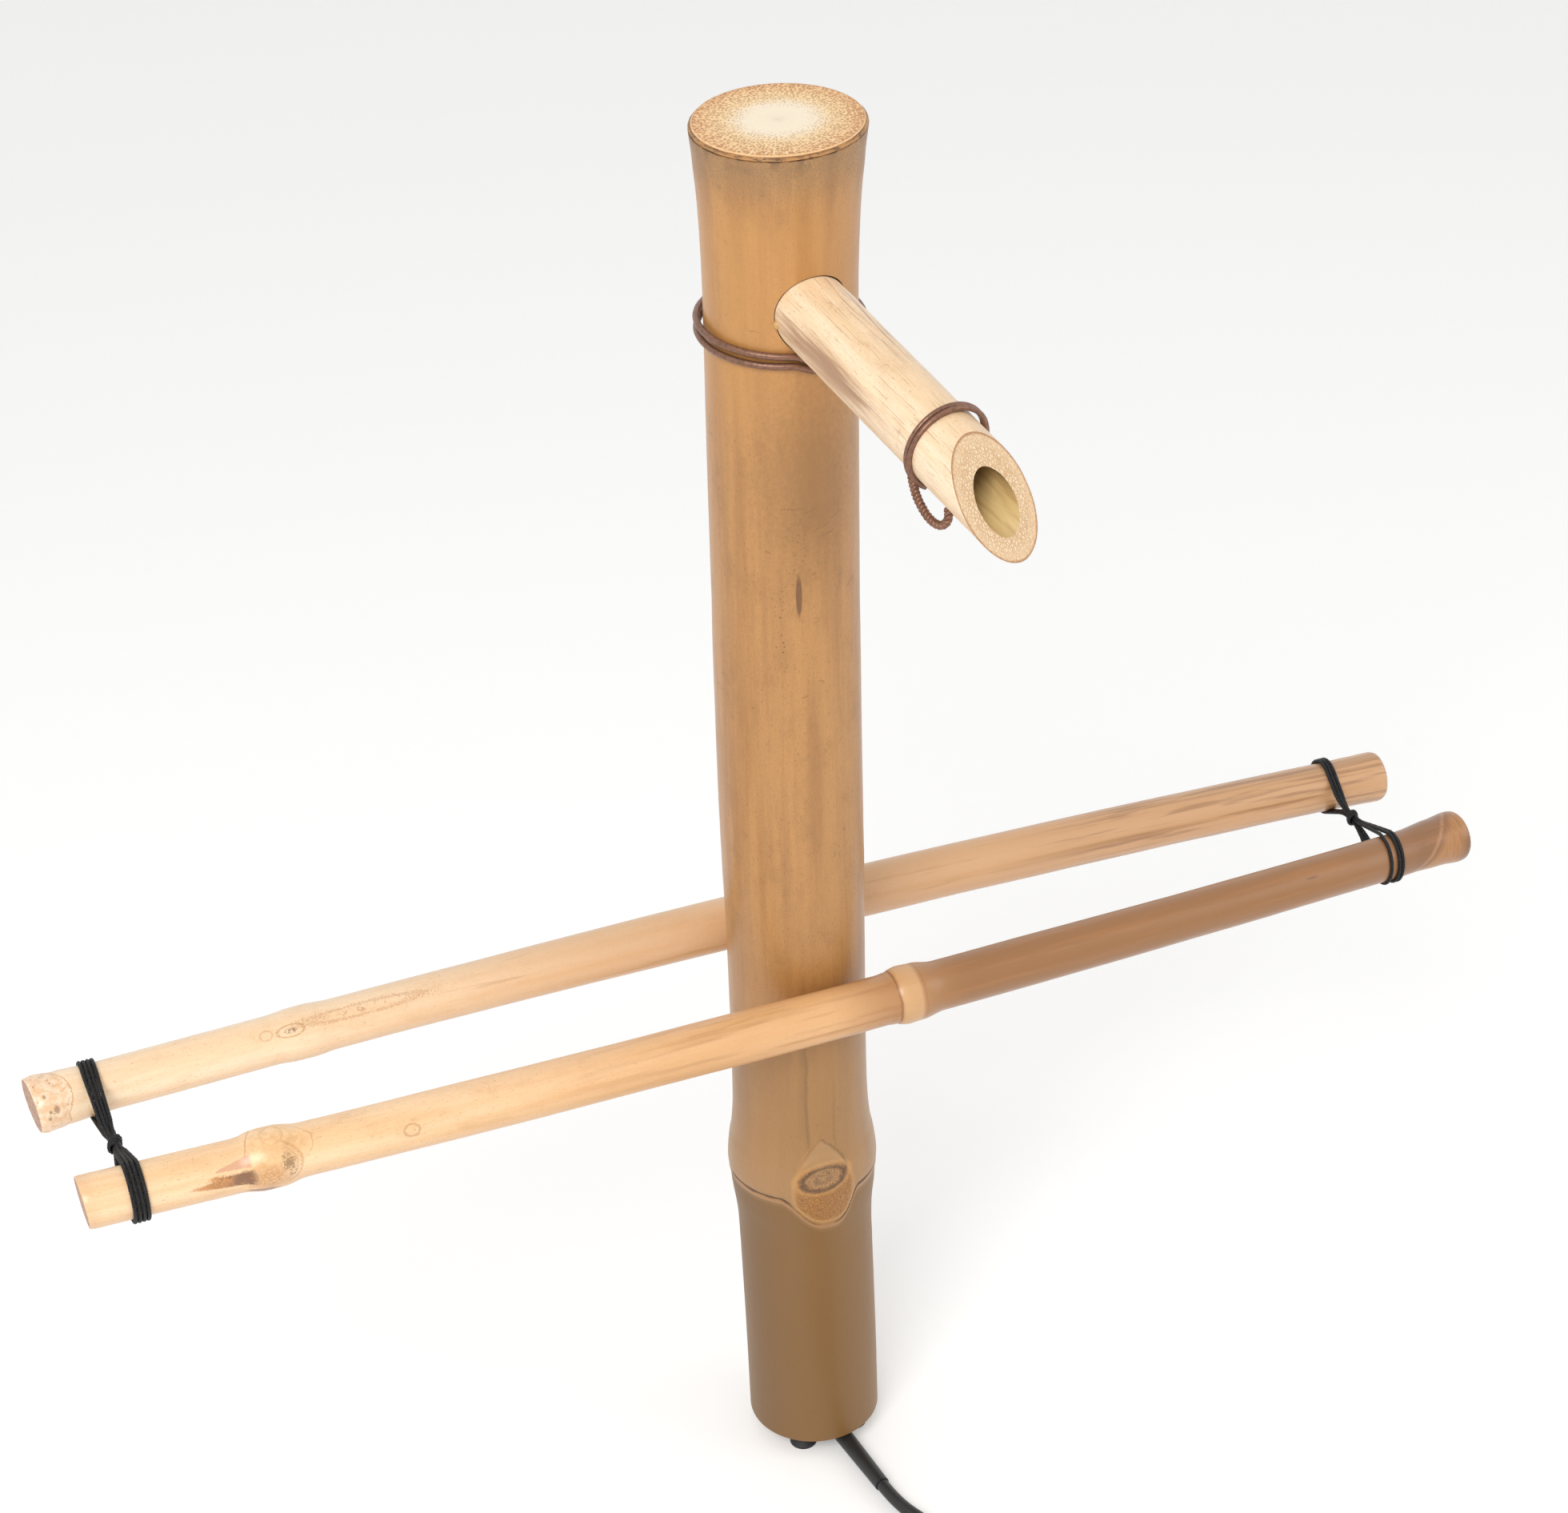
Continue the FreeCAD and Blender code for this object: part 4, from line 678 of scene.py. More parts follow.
def post_marks(angle, z):
    """Distances from the sheath's scar, the bud and the hood over it: millimetres, then shares."""
    around = POST_RADIUS * math.radians(angle - BUD[0])
    rise = z - BUD[1]
    turn = math.radians(BUD_TURN)
    length = around * math.cos(turn) + rise * math.sin(turn)
    width = rise * math.cos(turn) - around * math.sin(turn)
    bud = math.hypot(length / BUD_HALF[0], width / BUD_HALF[1])
    hood = abs(around) / HOOD_HALF[0] + (max(0.0, rise) / HOOD_HALF[1]) ** 2
    return Vector((z - sheath_line(angle), bud, hood))


def post_outline(z):
    """Radius of the post's plain outline."""
    share = min(1.0, max(0.0, (z - FLARE_START) / (FLARE_END - FLARE_START)))
    return POST_RADIUS + FLARE_OUT * share**2.4


def post_relief(angle, z):
    """How far the skin stands out of the plain outline: swelling, scar, bud, groove and lumps."""
    marks = post_marks(angle, z)
    sheath, bud, hood = marks
    turn = math.radians(angle)
    round_place = (POST_RADIUS * math.cos(turn), POST_RADIUS * math.sin(turn))
    out = 0.25 * wander(*round_place, z * 0.2, 24) + 0.06 * wander(*round_place, z, 6)
    for far, start, full, last, end in SWELLINGS:
        out += far * smooth(z, start, full) * smooth(z, end, last)
    for far, height, half in ROUND_SWELLINGS:
        out += far * bell((z - height) / half)
    ridge = smooth(z, 172, 166.5) * smooth(z, 150, 156) * smooth(abs(angle - BUD[0]), 22, 30)
    out += 0.3 * ridge + 0.6 * smooth(z, 225, 150)
    out += NODE_OUT * bell((z - NODE_MIDDLE) / NODE_HALF[z > NODE_MIDDLE])
    out += 0.4 * smooth(sheath, -0.5, 0.6) * smooth(z, 188, 156)
    out -= 0.45 * bell(sheath / 0.55)
    out += 0.4 * bell((sheath + 1.4) / 0.8)
    if bud < 2.5:
        out += 0.5 * bell((bud - 0.92) / 0.17) - 0.5 * smooth(bud, 0.9, 0.5)
        out += 0.16 * wander(*round_place, z, 1.6) * smooth(bud, 1.9, 1.2)
    trough = smooth(angle, BUD[0] - 13.5, BUD[0] - 9) * smooth(angle, BUD[0] + 14, BUD[0] + 9)
    out -= 0.5 * trough * smooth(z, 170, 184) * smooth(z, 360, 220)
    if z > BUD[1] and angle > BUD[0] - 2:
        out -= 0.3 * bell((hood - 1) / 0.06)
    return out


def post_profile():
    """Corners from the middle of the top's underside, down the bore, up the outside and in again."""
    low, high = DIAPHRAGM
    inside = [
        (0, POST_TOP - TOP_DISC),
        (BORE_RADIUS, POST_TOP - TOP_DISC),
        (BORE_RADIUS, high),
        (TUBE_HOLE, high),
        (TUBE_HOLE, low),
        (BORE_RADIUS, low),
        (BORE_RADIUS, FOOT_SHOULDER),
        (FOOT_RADIUS, FOOT_SHOULDER),
        (FOOT_RADIUS, POST_FOOT),
        (POST_RADIUS - 0.5, POST_FOOT),
        (POST_RADIUS, POST_FOOT + 0.5),
    ]

    def spacing(z):
        if SHEATH_LEVEL - 20 < z < SHEATH_LEVEL + 34:
            return FINE_SPACING
        return 3.0 if z > FLARE_START else 4.5

    heights = steps_between(POST_FOOT + 1.5, POST_TOP - RIM_HEIGHT, spacing)
    outside = [(post_outline(z), z) for z in heights]
    # The worn ring under the cut, given as steps in from the widest ring and down from the cut
    ring = ((0.55, 2.0), (0.1, 1.75), (0.0, 1.45), (0.15, 1.15), (1.0, 0.95), (1.15, 0.7), (1.0, 0.5))
    edge = ((1.05, 0.3), (1.25, 0.05), (1.6, 0.0), (4.0, 0.1), (16.0, 0.25))
    widest = POST_RADIUS + FLARE_OUT
    top = [(widest - inwards, POST_TOP - down) for inwards, down in ring + edge]
    return inside + outside + top + [(0, POST_TOP - 0.3)]


def bored_for_spout(bm):
    """The post's mesh with the spout's hole cut through its wall."""
    whole = bpy.data.meshes.new("whole_post")
    bm.to_mesh(whole)
    bm.free()
    tool = bmesh.new()
    depth = POST_RADIUS + SPOUT_ROOT
    round_hole = {"segments": 96, "radius1": SPOUT_HOLE, "radius2": SPOUT_HOLE}
    bmesh.ops.create_cone(tool, cap_ends=True, depth=depth, **round_hole)
    bmesh.ops.translate(tool, verts=tool.verts, vec=(0, 0, depth / 2))
    turn = Matrix.Rotation(math.radians(SPOUT_TURN), 4, "Z")
    fall = Matrix.Rotation(math.radians(90 + SPOUT_FALL), 4, "Y")
    start = (0, -bow(SPOUT_HEIGHT - 7), SPOUT_HEIGHT)
    tool.transform(Matrix.Translation(start) @ turn @ fall)
    drill = bpy.data.meshes.new("drill")
    tool.to_mesh(drill)
    tool.free()
    drilled, driller = [bpy.data.objects.new(mesh.name, mesh) for mesh in (whole, drill)]
    for holder in (drilled, driller):
        bpy.context.collection.objects.link(holder)
    bore = drilled.modifiers.new("bore", "BOOLEAN")
    bore.operation = "DIFFERENCE"
    bore.solver = "EXACT"
    bore.object = driller
    result = taken_mesh(drilled)
    bpy.data.objects.remove(driller)
    bored = bmesh.new()
    bored.from_mesh(result)
    for mesh in (whole, drill, result):
        bpy.data.meshes.remove(mesh)
    return bored


# Marks on the post's skin, placed by angle and height: a dark lens, and rows of dots with half sizes
LENS_MARK = (-11.5, 439.7)
DOTTED = (((-9.0, 462.0), (5.0, 16.0)), ((-26.0, 424.0), (6.0, 30.0)))
# Scratches as height, middle angle, half angle and rise per degree
KNOCKS = (
    (476.0, -14.0, 12.0, 0.03),
    (474.2, -2.0, 7.0, -0.14),
    (467.0, 8.0, 9.0, -0.12),
    (463.5, 12.0, 8.0, -0.1),
    (470.5, 22.0, 9.0, -0.16),
    (396.3, -7.7, 3.5, -0.25),
    (401.8, 5.9, 2.5, 0.2),
    (458.5, -34.5, 3.0, 0.3),
    (490.3, 22.3, 4.0, -0.1),
    (572.0, 52.0, 5.0, -0.6),
    (546.0, -42.0, 6.0, 0.08),
)


def post_skin():
    finish = cane_skin("post_skin", tone(192, 139, 80), tone(174, 123, 69), tone(134, 94, 54), 0.32)
    grain = finish.attribute("grain")
    across, up, z = finish.split(grain)
    angle = finish.angle(across, up)
    sheath, bud, hood = finish.split(finish.attribute("marks"))
    ragged = finish.noise(grain, 0.5, detail=5.0)
    jag = ragged - 0.5
    fine = finish.noise(grain, 1.6, detail=4.0, rough=0.65)
    # Duller, browner and darker towards the foot, partly the culm's own colour and partly painted shade
    finish.paint(z.ramp(330.0, 190.0) * 0.7, tone(158, 116, 66), 0.42)
    finish.paint(sheath.ramp(0.0, -6.0) * 0.85, tone(130, 93, 46), 0.5)
    # Painted shade on the foot's left side
    finish.paint(sheath.ramp(0.0, -6.0) * angle.ramp(-18.0, -78.0) * 0.4, tone(98, 70, 36))
    # The node: paler over the scar, a dark line, and a pinkish ridge under it
    above = sheath.ramp(0.0, 3.0) * sheath.ramp(34.0, 8.0)
    finish.paint(above * fine.ramp(0.3, 0.6) * 0.5, tone(178, 138, 94))
    finish.paint(sheath.line(-1.9, 1.3) * 0.65, tone(186, 136, 92))
    thick = finish.streaks(grain, 0.3, 0.12, detail=2.0).ramp(0.35, 0.6) * 0.7 + 0.75
    scar_line = (sheath + ragged * 0.6 - 0.3).size() / thick
    finish.paint(scar_line.ramp(1.0, 0.2) * 0.9, tone(84, 56, 36), 0.7)
    edge = (angle - BUD[0]).size().ramp(30.0, 23.0) * sheath.line(0.2, 1.1)
    finish.paint(edge * 0.85, tone(196, 146, 82), 0.6)
    # The shield-shaped scar round the bud
    wavy = (fine - 0.5) * 0.22
    shield = finish.spot(angle, z, (-4.5, 155.5), (24.5, 19.0)) + wavy
    inside = shield.ramp(1.02, 0.9) * sheath.ramp(0.2, 1.6) * z.ramp(172.0, 165.0)
    outline = shield.line(1.0, 0.14) * sheath.ramp(0.0, 1.5) * z.ramp(178.0, 168.0)
    finish.paint(outline * fine.ramp(0.3, 0.6) * 0.55, tone(204, 154, 90))
    rust = finish.blend(fine.ramp(0.36, 0.6), tone(186, 128, 60), tone(136, 88, 38))
    finish.paint(inside * 0.85, rust, 0.62)
    finish.paint(inside * sheath.line(1.6, 1.6) * 0.55, tone(212, 164, 98))
    # The bud: a soft dark ring round mottled wood
    finish.paint(bud.line(1.2, 0.24) * 0.5, tone(206, 154, 90))
    wood = finish.blend(fine.ramp(0.35, 0.65), tone(184, 142, 96), tone(142, 104, 66))
    finish.paint(bud.ramp(1.06, 0.92) * 0.95, wood, 0.75)
    ring = (bud + jag * 0.4).line(0.88, 0.24)
    finish.paint(ring * (0.6 + fine * 0.5), tone(92, 62, 38), 0.8)
    finish.paint((bud + jag * 0.9).line(0.3, 0.16) * 0.5, tone(104, 78, 56))
    # The hood over the bud, and painted shade in the grooves above it
    right = angle.ramp(BUD[0] - 2.0, BUD[0] + 3.0)
    peak = (hood + jag * 0.3).line(1.0, 0.12) * z.ramp(164.0, 169.0)
    finish.paint(peak * (right * 0.5 + 0.15) * fine.ramp(0.26, 0.5), tone(112, 86, 52))
    cap = hood.ramp(1.0, 0.85) * z.ramp(166.0, 171.0)
    finish.paint(cap * 0.4, tone(190, 150, 104))
    left_side = finish.spot(angle, z, (BUD[0], 158.0), (22.5, 22.0)).line(1.0, 0.07)
    left_side = left_side * angle.ramp(-13.0, -18.0) * z.ramp(150.0, 158.0)
    finish.paint(left_side * 0.4, tone(190, 138, 78))
    drift = jag * 3.0
    wave = (finish.streaks(grain, 0.4, 0.13, detail=3.0) - 0.5) * 9.0 + drift * 0.4
    # Painted shade along the grooves' edges, and a wide soft band of it on the left groove's side
    groove_shade = (angle + wave).line(BUD[0] - 11.0, 2.6) * z.ramp(176.0, 182.0) * z.ramp(300.0, 196.0)
    finish.paint(groove_shade * fine.ramp(0.2, 0.6) * 0.5, tone(112, 84, 48))
    soft = (angle + wave).line(BUD[0] - 14.0, 7.0) * z.ramp(172.0, 190.0) * z.ramp(290.0, 230.0)
    finish.paint(soft * 0.2, tone(120, 88, 50))
    faint_groove_shade = (angle + wave).line(BUD[0] + 13.0, 2.4) * z.ramp(174.0, 180.0) * z.ramp(230.0, 186.0)
    finish.paint(faint_groove_shade * fine.ramp(0.2, 0.6) * 0.4, tone(124, 92, 54))
    # Fine dark grain all over
    finish.paint(fine.ramp(0.5, 0.68) * 0.22, tone(126, 84, 44))
    # Old knocks: a dark lens, specks under it and short scratches
    lens = finish.spot(angle, z, LENS_MARK, (3.0, 10.5)) + (fine - 0.5) * 0.5
    finish.paint(lens.ramp(1.0, 0.6) * 0.85, tone(104, 66, 36), 0.6)
    specks = finish.spot(angle, z, (-13.0, 455.0), (4.5, 26.0)).ramp(1.0, 0.5)
    finish.paint(specks * fine.ramp(0.58, 0.66) * 0.8, tone(96, 60, 34))
    dots = finish.cells(grain, 0.55).ramp(0.28, 0.16)
    for place, half in DOTTED:
        near = finish.spot(angle, z, place, half).ramp(1.0, 0.4)
        finish.paint(near * dots * 0.7, tone(96, 58, 30), 0.6)
    for height, middle, half, rise in KNOCKS:
        scratch = (z - height + (angle - middle) * rise + drift * 0.9).line(0.0, 0.5)
        length = (angle - middle).size().ramp(half, half * 0.6)
        finish.paint(scratch * length * fine.ramp(0.36, 0.52) * 0.7, tone(112, 74, 44))
    # Weathered under the cut, a warmer patch round the spout, and a painted shadow of the spout below
    # it
    band = z.ramp(594.0, 615.0)
    finish.paint(band * fine.ramp(0.3, 0.6) * 0.7, tone(138, 112, 80), 0.6)
    finish.paint(z.ramp(480.0, 540.0) * z.ramp(605.0, 580.0) * 0.4, tone(208, 148, 80))
    # Painted shadow cast by the spout on the post below it
    spout_shadow = finish.spot(angle, z, (2.0, 486.0), (64.0, 66.0)) + jag * 0.6
    finish.paint(spout_shadow.ramp(1.0, 0.1) * 0.7, tone(140, 98, 50))
    broken = finish.streaks(grain, 0.4, 0.13, detail=4.0)
    rim = (z + jag * 0.7) - POST_TOP
    finish.paint(rim.ramp(-2.3, -1.9) * 0.9, tone(186, 134, 78), 0.5)
    # A dark line under the worn ring's ledge: dark chips with painted shade under the ledge
    finish.paint(rim.line(-2.0, 0.5) * broken.ramp(0.4, 0.55) * 0.9, tone(84, 58, 38), 0.7)
    finish.paint(rim.ramp(-9.0, -2.3) * broken.ramp(0.46, 0.62) * 0.55, tone(108, 80, 52), 0.6)
    finish.paint(rim.line(-0.9, 0.22) * broken.ramp(0.36, 0.5) * 0.8, tone(104, 70, 44), 0.7)
    finish.paint(rim.ramp(-0.65, -0.4) * 0.85, tone(234, 188, 132))
    chips = finish.streaks(grain, 3.0, 0.35, detail=4.0)
    ledge = rim.ramp(-1.9, -1.65) * rim.ramp(-0.8, -1.05)
    finish.paint(ledge * chips.ramp(0.54, 0.64) * 0.8, tone(92, 64, 42), 0.7)
    finish.lift(ragged * 0.12)
    return finish.finished(Coat_Weight=sheath.ramp(-6.0, 0.0) * 0.2 + 0.08, Coat_Roughness=0.3)


# Thin radial cracks in the top's front edge: angle and inner end
TOP_CRACKS = (
    (-58.6, 26.5),
    (-51.1, 26.2),
    (-41.2, 24.5),
    (-30.3, 27.0),
    (-24.8, 18.5),
    (-16.4, 27.3),
    (-10.3, 25.0),
    (21.7, 24.5),
)


def post_top_face():
    """The top's cut: cream in the middle, crowded with fibre bundles that close up towards its edge."""
    finish = Finish("post_top_face", tone(250, 234, 208), 0.6)
    across, up, _ = finish.split(finish.attribute("grain"))
    flat = finish.join(across, up, 0.0)
    radius = (across * across + up * up) ** 0.5
    cosine = across / radius
    sine = up / radius
    angle = finish.angle(across, up)
    edge = POST_RADIUS + FLARE_OUT - 1.25
    dots = finish.cells(flat, 1.2, scatter=0.8)
    rows = finish.cells(finish.join(cosine * 26.0, sine * 26.0, radius * 0.85), 1.0, scatter=0.75)
    cloud = finish.noise(flat, 0.12, detail=5.0)
    share = radius / edge + (cloud - 0.5) * 0.16
    finish.paint(share.ramp(0.36, 0.66), tone(246, 214, 164))
    finish.paint(share.ramp(0.6, 0.98), tone(226, 174, 118))
    finish.paint(share.ramp(0.86, 1.03) * 0.6, tone(196, 136, 92))
    middle_ring = share.ramp(0.28, 0.55) * share.ramp(0.8, 0.62)
    finish.paint(dots.ramp(0.5, 0.26) * middle_ring * 0.8, tone(178, 126, 74))
    finish.paint(rows.ramp(0.55, 0.3) * share.ramp(0.55, 0.72) * 0.7, tone(172, 116, 70))
    finish.paint(rows.ramp(0.5, 0.7) * share.ramp(0.5, 0.7) * 0.6, tone(255, 220, 166))
    jagged = (finish.noise(flat, 0.9, detail=3.0) - 0.5) * 3.0
    for middle, inner in TOP_CRACKS:
        crack = (angle - middle + jagged).line(0.0, 0.9) * radius.ramp(inner, inner + 1.5)
        finish.paint(crack * radius.ramp(edge - 0.3, edge - 0.9) * 0.9, tone(255, 232, 188))
    finish.paint((radius - edge + 0.55).line(0.0, 0.3) * 0.5, tone(176, 120, 76))
    finish.paint(radius.ramp(edge - 0.45, edge - 0.1) * 0.7, tone(246, 204, 150))
    finish.lift(dots * 0.06 + rows * 0.06 + cloud * 0.3)
    return finish.finished(Coat_Weight=0.15, Coat_Roughness=0.35)


def bent_post(co, out):
    """Lays a point of the straight culm on the bowed one, with its top's slanted cut."""
    radius = math.hypot(co.x, co.y)
    x = co.x * (1 + out / radius) if out else co.x
    y = co.y * (1 + out / radius) if out else co.y
    turn = math.radians(TOP_TURN)
    low = x * math.cos(turn) - y * math.sin(turn)
    drop = (POST_RADIUS + FLARE_OUT + low) * math.tan(math.radians(TOP_TILT))
    outside = radius > BORE_RADIUS + 1
    slanted = outside or co.z > POST_TOP - 1
    slant = smooth(co.z, SLANT_START, POST_TOP - RIM_HEIGHT) if slanted else 0.0
    if outside:
        y -= wander_off(co.z)
        side = bow(co.z)
    else:
        side = bow(co.z) * smooth(co.z, 250, 420)
    return Vector((x, y + side, co.z - drop * slant))


def make_post():
    bm = bored_for_spout(lathe(post_profile(), POST_SIDES))
    straight_grain(bm)
    marks = bm.verts.layers.float_vector.new("marks")
    for face in bm.faces:
        middle = face.calc_center_median()
        radius = math.hypot(middle.x, middle.y)
        if middle.z > POST_TOP - 0.34:
            face.material_index = 1
        elif middle.z < POST_FOOT + 0.6 and radius > FOOT_RADIUS:
            face.material_index = 2
        elif radius < POST_RADIUS - 0.6:
            face.material_index = 3
    for vert in bm.verts:
        radius = math.hypot(vert.co.x, vert.co.y)
        angle = math.degrees(math.atan2(vert.co.y, vert.co.x))
        vert[marks] = post_marks(angle, vert.co.z)
        on_skin = radius > POST_RADIUS - 0.1 and vert.co.z < POST_TOP - RIM_HEIGHT + 0.1
        out = post_relief(angle, vert.co.z) if on_skin else 0.0
        if radius > POST_RADIUS + 1.5 and not on_skin and vert.co.z < POST_TOP - 0.5:
            out = 0.18 * wander(vert.co.x, vert.co.y, vert.co.z * 3, 5)
        vert.co = bent_post(vert.co, out)
    bm.transform(Matrix.Rotation(math.radians(-90), 4, "Z"))
    cut = end_grain("post_foot_face", tone(214, 182, 136), tone(176, 136, 92), tone(120, 84, 54))
    inside = bore_skin("post_bore", tone(214, 186, 142), tone(158, 122, 82))
    materials = [post_skin(), post_top_face(), cut.finished(), inside.finished()]
    make_piece("post_culm", bm, "post", materials, ["post"], sharp=50)


make_post()

# Spout


def on_spout():
    """The turn and place of the spout: across is X, above is Y and along is Z."""
    turn = Matrix.Rotation(math.radians(SPOUT_TURN), 4, "Z")
    fall = Matrix.Rotation(math.radians(90 + SPOUT_FALL), 4, "X")
    return Matrix.Translation((0, 0, SPOUT_HEIGHT)) @ turn @ fall


def spout_radius(along):
    return SPOUT_ROOT - SPOUT_TAPER * (along - SPOUT_START) / (SPOUT_REACH - SPOUT_START)


# Marks on the spout, placed along it and by angle, with their half sizes
SMUDGE = ((60.0, 178.0), (48.0, 32.0))
SMUDGE_CORE = ((62.0, 172.0), (36.0, 12.0))
GREY_FIBRES = ((62.0, 70.0), (44.0, 24.0))


def spout_skin():
    finish = cane_skin("spout_skin", tone(253, 228, 194), tone(243, 210, 168), tone(204, 158, 115))
    grain = finish.attribute("grain")
    across, up, along = finish.split(grain)
    angle = finish.angle(across, up)
    turned = finish.wrapped(angle)
    streak = finish.streaks(grain, 0.07, 0.55, detail=5.0)
    hair = finish.streaks(grain, 0.025, 1.9, detail=3.0)
    # A grey-brown smudge low on its left side, from the root to the middle
    drift = (streak - 0.5) * 1.5
    smudge = finish.spot(along, turned, *SMUDGE) + drift
    finish.paint(smudge.ramp(1.1, 0.3) * 0.8, tone(172, 124, 86), 0.5)
    core = finish.spot(along, turned, *SMUDGE_CORE) + drift * 1.6
    finish.paint(core.ramp(1.1, 0.1) * 0.45, tone(146, 106, 80), 0.5)
    # Thin grey fibres on its upper right side
    fibres = finish.spot(along, turned, *GREY_FIBRES).ramp(1.0, 0.5)
    finish.paint(fibres * hair.ramp(0.52, 0.6) * 0.65, tone(146, 108, 80))
    finish.paint(hair.ramp(0.6, 0.66) * 0.4, tone(158, 112, 72))
    # A dark line where it enters the post's round skin
    forward = along * math.cos(math.radians(SPOUT_FALL)) + up * math.sin(math.radians(SPOUT_FALL))
    aside = across - SPOUT_BOW
    root = forward - (POST_RADIUS * POST_RADIUS - aside * aside) ** 0.5
    finish.paint(root.ramp(0.9, 0.4) * 0.8, tone(88, 62, 42))
    finish.lift(streak * 0.08)
    return finish.finished(Coat_Weight=0.35, Coat_Roughness=0.3)


def spout_cut_face():
    """The long slanted cut: cream cells with pale brown walls, and a thin dark skin line."""
    finish = Finish("spout_cut_face", tone(240, 212, 174), 0.66)
    across, up, _ = finish.split(finish.attribute("grain"))
    flat = finish.join(across, up, 0.0)
    radius = (across * across + up * up) ** 0.5
    walls = finish.cells(flat, 1.15, "DISTANCE_TO_EDGE")
    stipple = finish.noise(flat, 1.8, detail=3.0)
    cloud = finish.noise(flat, 0.25, detail=4.0)
    share = radius / SPOUT_ROOT + (cloud - 0.5) * 0.2
    finish.paint(cloud.ramp(0.4, 0.65) * 0.5, tone(232, 196, 154))
    finish.paint(walls.ramp(0.17, 0.05) * share.ramp(0.95, 0.7) * 0.6, tone(184, 136, 86))
    finish.paint(share.ramp(0.72, 0.95) * stipple.ramp(0.42, 0.6) * 0.55, tone(192, 140, 88))
    finish.paint(radius.ramp(13.1, 13.7) * 0.75, tone(164, 108, 62))
    finish.lift(walls.ramp(0.0, 0.3) * 0.15 + stipple * 0.05)
    return finish.finished(Coat_Weight=0.2, Coat_Roughness=0.3)


def spout_bore_skin():
    finish = bore_skin("spout_bore_skin", tone(222, 192, 132), tone(190, 152, 96))
    _, up, along = finish.split(finish.attribute("grain"))
    grime_and_shade = finish.noise(finish.attribute("grain"), 0.4, detail=5.0)
    # Painted shade inside the bore: darker on its upper side and further in from the cut
    finish.paint(up.ramp(-1.5, 4.5) * (0.5 + grime_and_shade * 0.4), tone(96, 80, 50), 0.3)
    finish.paint(along.ramp(140.0, 100.0) * 0.6, tone(88, 72, 46))
    return finish.finished(Coat_Weight=0.5, Coat_Roughness=0.12)


def make_spout():
    outside = [(spout_radius(t), t) for t in steps_between(SPOUT_START, SPOUT_BLANK, lambda t: 2.0)]
    bore = [(SPOUT_BORE, t) for t in steps_between(TUBE_SEAT_END, SPOUT_BLANK, lambda t: 5.0)]
    seat = [(TUBE_SEAT, TUBE_SEAT_END), (TUBE_SEAT, SPOUT_START)]
    bm = lathe(outside + bore[::-1] + seat, SPOUT_SIDES, ring=True)
    straight_grain(bm)
    for vert in bm.verts:
        radius = math.hypot(vert.co.x, vert.co.y)
        if radius > SPOUT_BORE + 1:
            fibres = wander(vert.co.x, vert.co.y, vert.co.z * 0.2, 3)
            swell(vert, 0.16 * wander(*vert.co, 11) + 0.05 * fibres)
        elif radius > TUBE_SEAT + 0.1:
            lumps = wander(vert.co.x, vert.co.y, vert.co.z * 0.3, 5)
            swell(vert, 0.2 * lumps * smooth(vert.co.z, TUBE_SEAT_END, TUBE_SEAT_END + 14))
            vert.co.y -= BORE_DROP
    tilt = math.radians(SPOUT_CUT_TILT)
    whole = bm.verts[:] + bm.edges[:] + bm.faces[:]
    cut = bmesh.ops.bisect_plane(
        bm,
        geom=whole,
        dist=1e-4,
        plane_co=(0, 0, SPOUT_REACH),
        plane_no=(0, math.sin(tilt), math.cos(tilt)),
        clear_outer=True,
    )
    loops = [item for item in cut["geom_cut"] if isinstance(item, bmesh.types.BMEdge)]
    face_ring = bmesh.ops.bridge_loops(bm, edges=loops)
    for face in bm.faces:
        middle = face.calc_center_median()
        inside = math.hypot(middle.x, middle.y + BORE_DROP) < SPOUT_BORE + 1.5
        face.material_index = 2 if inside else 0
    for face in face_ring["faces"]:
        face.material_index = 1
    grain = bm.verts.layers.float_vector["grain"]
    for vert in bm.verts:
        if vert.co.z > SPOUT_START + 0.5:
            vert[grain] = vert.co
    bm.transform(on_spout())
    materials = [spout_skin(), spout_cut_face(), spout_bore_skin()]
    make_piece("spout_tube", bm, "post", materials, ["spout"], sharp=30)


make_spout()


def make_glue_drop():
    """The small amber drop that ran out beside the spout's root."""
    glue = Finish("amber_glue", tone(236, 186, 108), 0.12)
    glue.lift(glue.noise(glue.place(), 0.8) * 0.1)
    material = glue.finished(Transmission_Weight=0.35, IOR=1.48, Coat_Weight=0.6, Coat_Roughness=0.08)
    low, high = corner("glue_bead", 0), corner("glue_bead", 1)
    middle = (low + high) / 2
    bm = bmesh.new()
    bmesh.ops.create_icosphere(bm, subdivisions=4, radius=GLUE_RADIUS)
    for vert in bm.verts:
        hang = 1 + 0.35 * smooth(vert.co.z, 0, -GLUE_RADIUS)
        vert.co = Vector((vert.co.x, vert.co.y, vert.co.z * hang + 0.1 * wander(*vert.co, 1.2)))
    bmesh.ops.translate(bm, verts=bm.verts, vec=middle + Vector((bow(middle.z), 0, 0)))
    make_piece("glue_drop", bm, "post", [material], ["glue_bead"])


make_glue_drop()

# Poles


